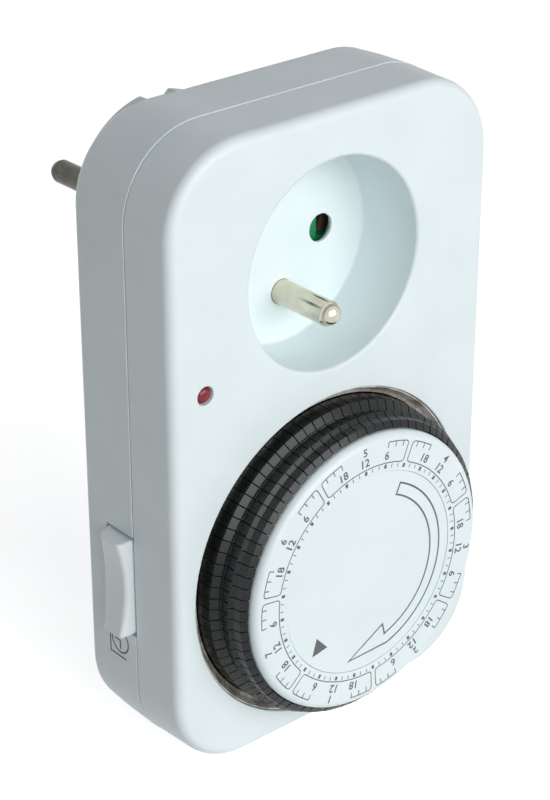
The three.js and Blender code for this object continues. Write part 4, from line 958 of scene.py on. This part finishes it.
# %% [markdown]
# ## The rocker
# The manual switch is a white rocker with a hollowed face that leans from end to end. Its
# sections are stacked from the lower end to the upper one. Each has a broad round towards the
# front, where a finger slides on, and the last few shrink so that the ends are rounded too. Behind
# the face a hub turns on the pin, with a hair of play round it, so that the button tilts freely.

# %% Rocker
ROCKER_Z = -57.0
ROCKER_HALF = 9.95
ROCKER_PROUD = 3.3
ROCKER_HOLLOW = 1.7
ROCKER_FRONT_Y = RIM_Y + 0.3
ROCKER_BACK_Y = RIM_Y + 7.9
ROCKER_FACE = 4.9
ROCKER_EDGE_SHIFT = 0.8
ROCKER_SOFTNESS = 0.55
ROCKER_STEPS = 40
ROCKER_PLAY = 0.12
HUB_WALL = 0.8
ROCKER_PIVOT = box_centre("rocker_pin")
pin_low, pin_high = node_box("rocker_pin")
ROCKER_BORE = (pin_high.x - pin_low.x) / 2 + ROCKER_PLAY
ROCKER_HUB = ROCKER_BORE + HUB_WALL
ROCKER_INNER_X = ROCKER_PIVOT[0] - ROCKER_HUB + 0.02
print("rocker turns about x", round(ROCKER_PIVOT[0], 2), "bore", round(ROCKER_BORE, 2))


def rocker_section(bm, share, inset, z):
    """The rocker's outline at one height; share runs from -1 at the lower end to 1."""
    front, back = ROCKER_FRONT_Y + inset, ROCKER_BACK_Y - inset
    proud = ROCKER_PROUD - ROCKER_HOLLOW * (1 - share * share) - inset
    edge_y = front + ROCKER_FACE + (ROCKER_PROUD - proud) * ROCKER_EDGE_SHIFT
    line = rounded([(ROCKER_INNER_X, front, 0), (-SIDE_X - proud, front, 1.0),
                    (-SIDE_X - proud, edge_y, 0.7), (-SIDE_X, back, 0.3),
                    (ROCKER_INNER_X, back, 0)], 6)
    return [bm.verts.new((x, y, z)) for x, y in line]


bm = bmesh.new()
soft = ROCKER_SOFTNESS
ends = [(ROCKER_HALF - soft + soft * math.sin(turn), soft * (1 - math.cos(turn)))
        for turn in (step / 5 * math.pi / 2 for step in range(6))]
body = [((step / ROCKER_STEPS * 2 - 1) * (ROCKER_HALF - soft), 0.0)
        for step in range(1, ROCKER_STEPS)]
levels = [(-reach, inset) for reach, inset in reversed(ends)] + body + ends
sections = [rocker_section(bm, reach / ROCKER_HALF, inset, ROCKER_Z + reach)
            for reach, inset in levels]
join_all(bm, sections)
bm.faces.new(sections[0])
bm.faces.new(sections[-1])
near_y, far_y = RIM_Y + 0.6, RIM_Y + 7.6
hub = rounded([(ROCKER_BORE + 0.4, near_y, 0), (ROCKER_HUB, near_y, 0.15),
               (ROCKER_HUB, far_y, 0.15), (ROCKER_BORE, far_y, 0.15),
               (ROCKER_BORE, near_y, 0.15), (ROCKER_BORE + 0.4, near_y, 0)])
lathe(bm, hub[:-1], ROCKER_PIVOT, HOLE_STEPS, closed=True)
make_piece("rocker_button_moulding", bm, ROCKER_ABS, "rocker",
           ["rocker_button"])

# %% [markdown]
# ## The clock sign by the rocker
# A thin printed sign stands below the rocker: a clock face with two hands in a corner line, for
# running by the timer. It is drawn flat, as (y, z) places, and laid against the leaning wall.

# %% Clock sign
SIGN_LINE = 0.32
SIGN_CORNER = [Vector((-32.24, -70.24)), Vector((-32.24, -74.1)), Vector((-36.98, -74.1))]
CLOCK_MIDDLE = Vector((-35.3, -70.65))
CLOCK_RADIUS = 2.5
CLOCK_HANDS = [CLOCK_MIDDLE + Vector((1.6, 0.1)), CLOCK_MIDDLE, CLOCK_MIDDLE + Vector((0.0, -1.8))]
bm = bmesh.new()
face = [CLOCK_MIDDLE + Vector((math.cos(turn), math.sin(turn))) * CLOCK_RADIUS
        for turn in (2 * math.pi * step / 36 for step in range(36))]
ribbon(bm, SIGN_CORNER, SIGN_LINE, 0.0)
ribbon(bm, CLOCK_HANDS, SIGN_LINE, 0.0)
ribbon(bm, face, SIGN_LINE, 0.0, closed=True)
for vert in bm.verts:
    y, out, z = vert.co
    lean = SLOT_INSET * (y - RIM_Y) / (SLOT_BACK_Y - RIM_Y)
    vert.co = (lean - SIDE_X + out, y, z)
make_piece("side_sign_print", bm, SIGN_INK, "case")

# %% [markdown]
# ## Pins
# The outlet's earth pin and the two plug pins are turned brass, nickel plated. Each ends in a low
# dome inside a chamfered rim. The plug's pins get a darker copy of the plate, painted shade for the
# dark they mirror.

# %% Pins
PIN_RADIUS = 2.4
TIP_RADIUS = 2.1
TIP_HEIGHT = 1.7
RIM_HEIGHT = 0.35
TAIL_RADIUS = 2.0
PIN_STEPS = 64


def pin_line(root_y, tip_y, tail_y):
    """A pin's line: a low dome inside a chamfered rim, a straight shank and a thinner tail."""
    way = 1 if tip_y > root_y else -1
    rim_y = tip_y - way * TIP_HEIGHT
    dome = [(TIP_RADIUS * math.sin(turn), rim_y + way * TIP_HEIGHT * math.cos(turn), 0)
            for turn in (step / 10 * math.pi / 2 for step in range(11))]
    return dome + [(PIN_RADIUS, rim_y - way * RIM_HEIGHT, 0.15), (PIN_RADIUS, root_y, 0.1),
                   (TAIL_RADIUS, root_y, 0.1), (TAIL_RADIUS, tail_y, 0.2), (0.0, tail_y, 0)]


plug_line = pin_line(root_y=-4.8, tip_y=18.99, tail_y=-13.2)
earth_line = pin_line(root_y=-22.5, tip_y=FRONT_Y - 0.3, tail_y=-22.0)
for name, line, metal, centre in zip(("plug_pin_left", "plug_pin_right", "earth_pin"),
                                     (plug_line, plug_line, earth_line),
                                     (SHADED_NICKEL, SHADED_NICKEL, NICKEL), PIN_PLACES):
    turned_piece(name + "_turned", line, metal, "case", [name], centre,
                 closed=False, steps=PIN_STEPS)

# %% [markdown]
# ## The lamp's lens
# A small domed lens of dark red clear plastic sits just under the front face.

# %% Lens
LENS_RADIUS = 1.6
LENS_FLANGE = 2.7
LENS_SEAT_Y = FRONT_Y + 2.45
LENS_BACK_Y = FRONT_Y + 3.45
turned_piece("lamp_lens_moulding", [
    (0.0, FRONT_Y - 0.05, 0), (1.0, FRONT_Y + 0.1, 0.8), (LENS_RADIUS, FRONT_Y + 0.7, 0.3),
    (LENS_RADIUS, LENS_SEAT_Y, 0.05), (LENS_FLANGE, LENS_SEAT_Y, 0.1),
    (LENS_FLANGE, LENS_BACK_Y, 0.1), (0.0, LENS_BACK_Y, 0),
], RED_LENS, "case", ["lamp_lens"], LAMP_CENTRE, closed=False, steps=HOLE_STEPS)

# %% [markdown]
# ## The shutter's spring
# A thin steel leaf folded to and fro pushes the shutter closed. On the real timer its folds close up
# when the shutter slides; here the leaf is drawn once, folded, and rides on the case.

# %% Shutter spring
LEAF_THICKNESS = 0.22
LEAF_FOLDS = 4
LEAF_STEPS = 64
bm = bmesh.new()
low, high = node_box("shutter_spring")
length = high.x - low.x - LEAF_THICKNESS
sway = (high.z - low.z - LEAF_THICKNESS) / 2
middle_z = (low.z + high.z) / 2
path = [Vector((low.x + LEAF_THICKNESS / 2 + length * step / LEAF_STEPS,
                middle_z + sway * math.cos(LEAF_FOLDS * math.pi * step / LEAF_STEPS)))
        for step in range(LEAF_STEPS + 1)]
ribbon(bm, path, LEAF_THICKNESS, (low.y + high.y) / 2, half_height=(high.y - low.y) / 2)
spring = make_piece("shutter_spring_folded", bm, STEEL, "case", ["shutter_spring"])
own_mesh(spring)

# %% [markdown]
# ## Screws
# Four zinc-plated screws with cross recesses close the case from behind.

# %% Screws
HEAD_RADIUS = 2.8
HEAD_HEIGHT = 2.0
SHANK_RADIUS = 1.4
SCREW_ARM = 1.7
SCREW_ARM_HALF = 0.42
RECESS_DEPTH = 1.3
RECESS_TAPER = 0.55


def cross_outline(bm, centre, y, size):
    """The outline of a cross recess, a little smaller lower down."""
    points = []
    for quarter in range(4):
        turn = Matrix.Rotation(quarter * math.pi / 2, 2)
        for x, z in ((SCREW_ARM, -SCREW_ARM_HALF), (SCREW_ARM, SCREW_ARM_HALF),
                     (SCREW_ARM_HALF, SCREW_ARM_HALF)):
            place = turn @ Vector((x, z)) * size
            points.append(bm.verts.new((centre[0] + place.x, y, centre[1] + place.y)))
    return points


def case_screw(name):
    """A screw with a rounded head and a cross recess."""
    bm = bmesh.new()
    low, high = node_box(name)
    centre = box_centre(name)
    under_y = high.y - HEAD_HEIGHT
    line = rounded([(0.0, high.y, 0), (HEAD_RADIUS, high.y, 0.45), (HEAD_RADIUS, under_y, 0.15),
                    (SHANK_RADIUS, under_y, 0.1), (SHANK_RADIUS, low.y, 0.3), (0.0, low.y, 0)])
    rim, _ = lathe(bm, line[1:], centre, HOLE_STEPS)
    mouth = cross_outline(bm, centre, high.y, 1.0)
    fill_between(bm, [rim, mouth])
    depth = cross_outline(bm, centre, high.y - RECESS_DEPTH, RECESS_TAPER)
    join_rings(bm, mouth, depth)
    bm.faces.new(depth)
    make_piece(name + "_headed", bm, STEEL, "case", [name])


for name in SCREW_NAMES:
    case_screw(name)

# %% [markdown]
# ## Floor, backdrop and light
# The timer stands on white paper. One large lamp in front lights the face, and a weak one behind
# keeps the back from going black. The room's own light is low, so the left side and the top stay
# in half shade. The camera, and whatever mirrors or is clear, sees a plain white room instead.

# %% Floor and light
PAPER_GLOW = 0.76
PAPER_WHITE = (0.78, 0.82)
FIBRE_MM = 2.5
FLOOR_REACH = 4000.0
FLOOR_GAP = 0.05
# Amounts of light, not colours of paint, so they are linear
SKY_LOW = (0.155, 0.155, 0.14, 1.0)
SKY_HIGH = (0.12, 0.125, 0.15, 1.0)


def seen_directly(tree):
    """One for rays from the camera, off gloss and through clear things, and nought for the rest."""
    path = add_node(tree, "ShaderNodeLightPath")
    seen = path.outputs["Is Camera Ray"]
    for kind in ("Is Glossy Ray", "Is Transmission Ray"):
        seen = add_node(tree, "ShaderNodeMath", {"operation": "MAXIMUM"},
                        {0: seen, 1: path.outputs[kind]}).outputs[0]
    return seen


def stage_floor():
    """White paper that glows a little where it is seen, so that it fades into the backdrop."""
    material, tree, output = empty_material("white_paper_matt")
    paper = add_node(tree, "ShaderNodeBsdfDiffuse", {"Roughness": 0.5},
                     {"Color": wander(tree, noise(tree, FIBRE_MM, 3.0), *PAPER_WHITE)})
    glow = add_node(tree, "ShaderNodeEmission", {"Strength": PAPER_GLOW})
    black = add_node(tree, "ShaderNodeEmission", {"Strength": 0.0})
    lit = add_node(tree, "ShaderNodeMixShader",
                   links={0: seen_directly(tree), 1: black.outputs[0], 2: glow.outputs[0]})
    total = add_node(tree, "ShaderNodeAddShader", links={0: paper.outputs[0], 1: lit.outputs[0]})
    tree.links.new(total.outputs[0], output.inputs["Surface"])
    bm = bmesh.new()
    corners = [bm.verts.new((x * FLOOR_REACH, y * FLOOR_REACH, LOW_Z - FLOOR_GAP))
               for x, y in ((-1, -1), (1, -1), (1, 1), (-1, 1))]
    bm.faces.new(corners)
    floor = mesh_object("floor", bm, material)


def area_light(name, place, size, watts):
    """A square soft lamp aimed at the timer's middle, in millimetres."""
    data = bpy.data.lights.new(name, "AREA")
    data.size = size * MM
    data.energy = watts
    light = bpy.data.objects.new(name, data)
    light.visible_camera = False
    light.location = Vector(place) * MM
    light.rotation_mode = "QUATERNION"
    light.rotation_quaternion = (TIMER_MIDDLE - Vector(place)).to_track_quat("-Z", "Y")
    bpy.context.scene.collection.objects.link(light)


def soft_world():
    """Low room light on the timer, and plain white where the room itself is seen."""
    world = bpy.data.worlds.new("studio")
    bpy.context.scene.world = world
    world.use_nodes = True
    tree = world.node_tree
    tree.nodes.clear()
    direction = add_node(tree, "ShaderNodeTexCoord")
    axes = add_node(tree, "ShaderNodeSeparateXYZ", links={0: direction.outputs["Generated"]})
    sky = add_node(tree, "ShaderNodeValToRGB", links={"Fac": axes.outputs["Z"]})
    sky.color_ramp.elements[0].color = SKY_LOW
    sky.color_ramp.elements[1].color = SKY_HIGH
    ambient = add_node(tree, "ShaderNodeBackground", links={"Color": sky.outputs[0]})
    white = add_node(tree, "ShaderNodeBackground", {"Color": (1, 1, 1, 1)})
    both = add_node(tree, "ShaderNodeMixShader",
                    links={0: seen_directly(tree), 1: ambient.outputs[0], 2: white.outputs[0]})
    add_node(tree, "ShaderNodeOutputWorld", links={"Surface": both.outputs[0]})


TIMER_MIDDLE = Vector((0.0, -35.0, MIDDLE_Z))
stage_floor()
area_light("key", place=(40.0, -2000.0, 272.0), size=2400.0, watts=60.0)
area_light("back fill", place=(0.0, 2400.0, 232.0), size=2000.0, watts=12.0)
soft_world()
print("paper floor, two lamps and the room's light made")
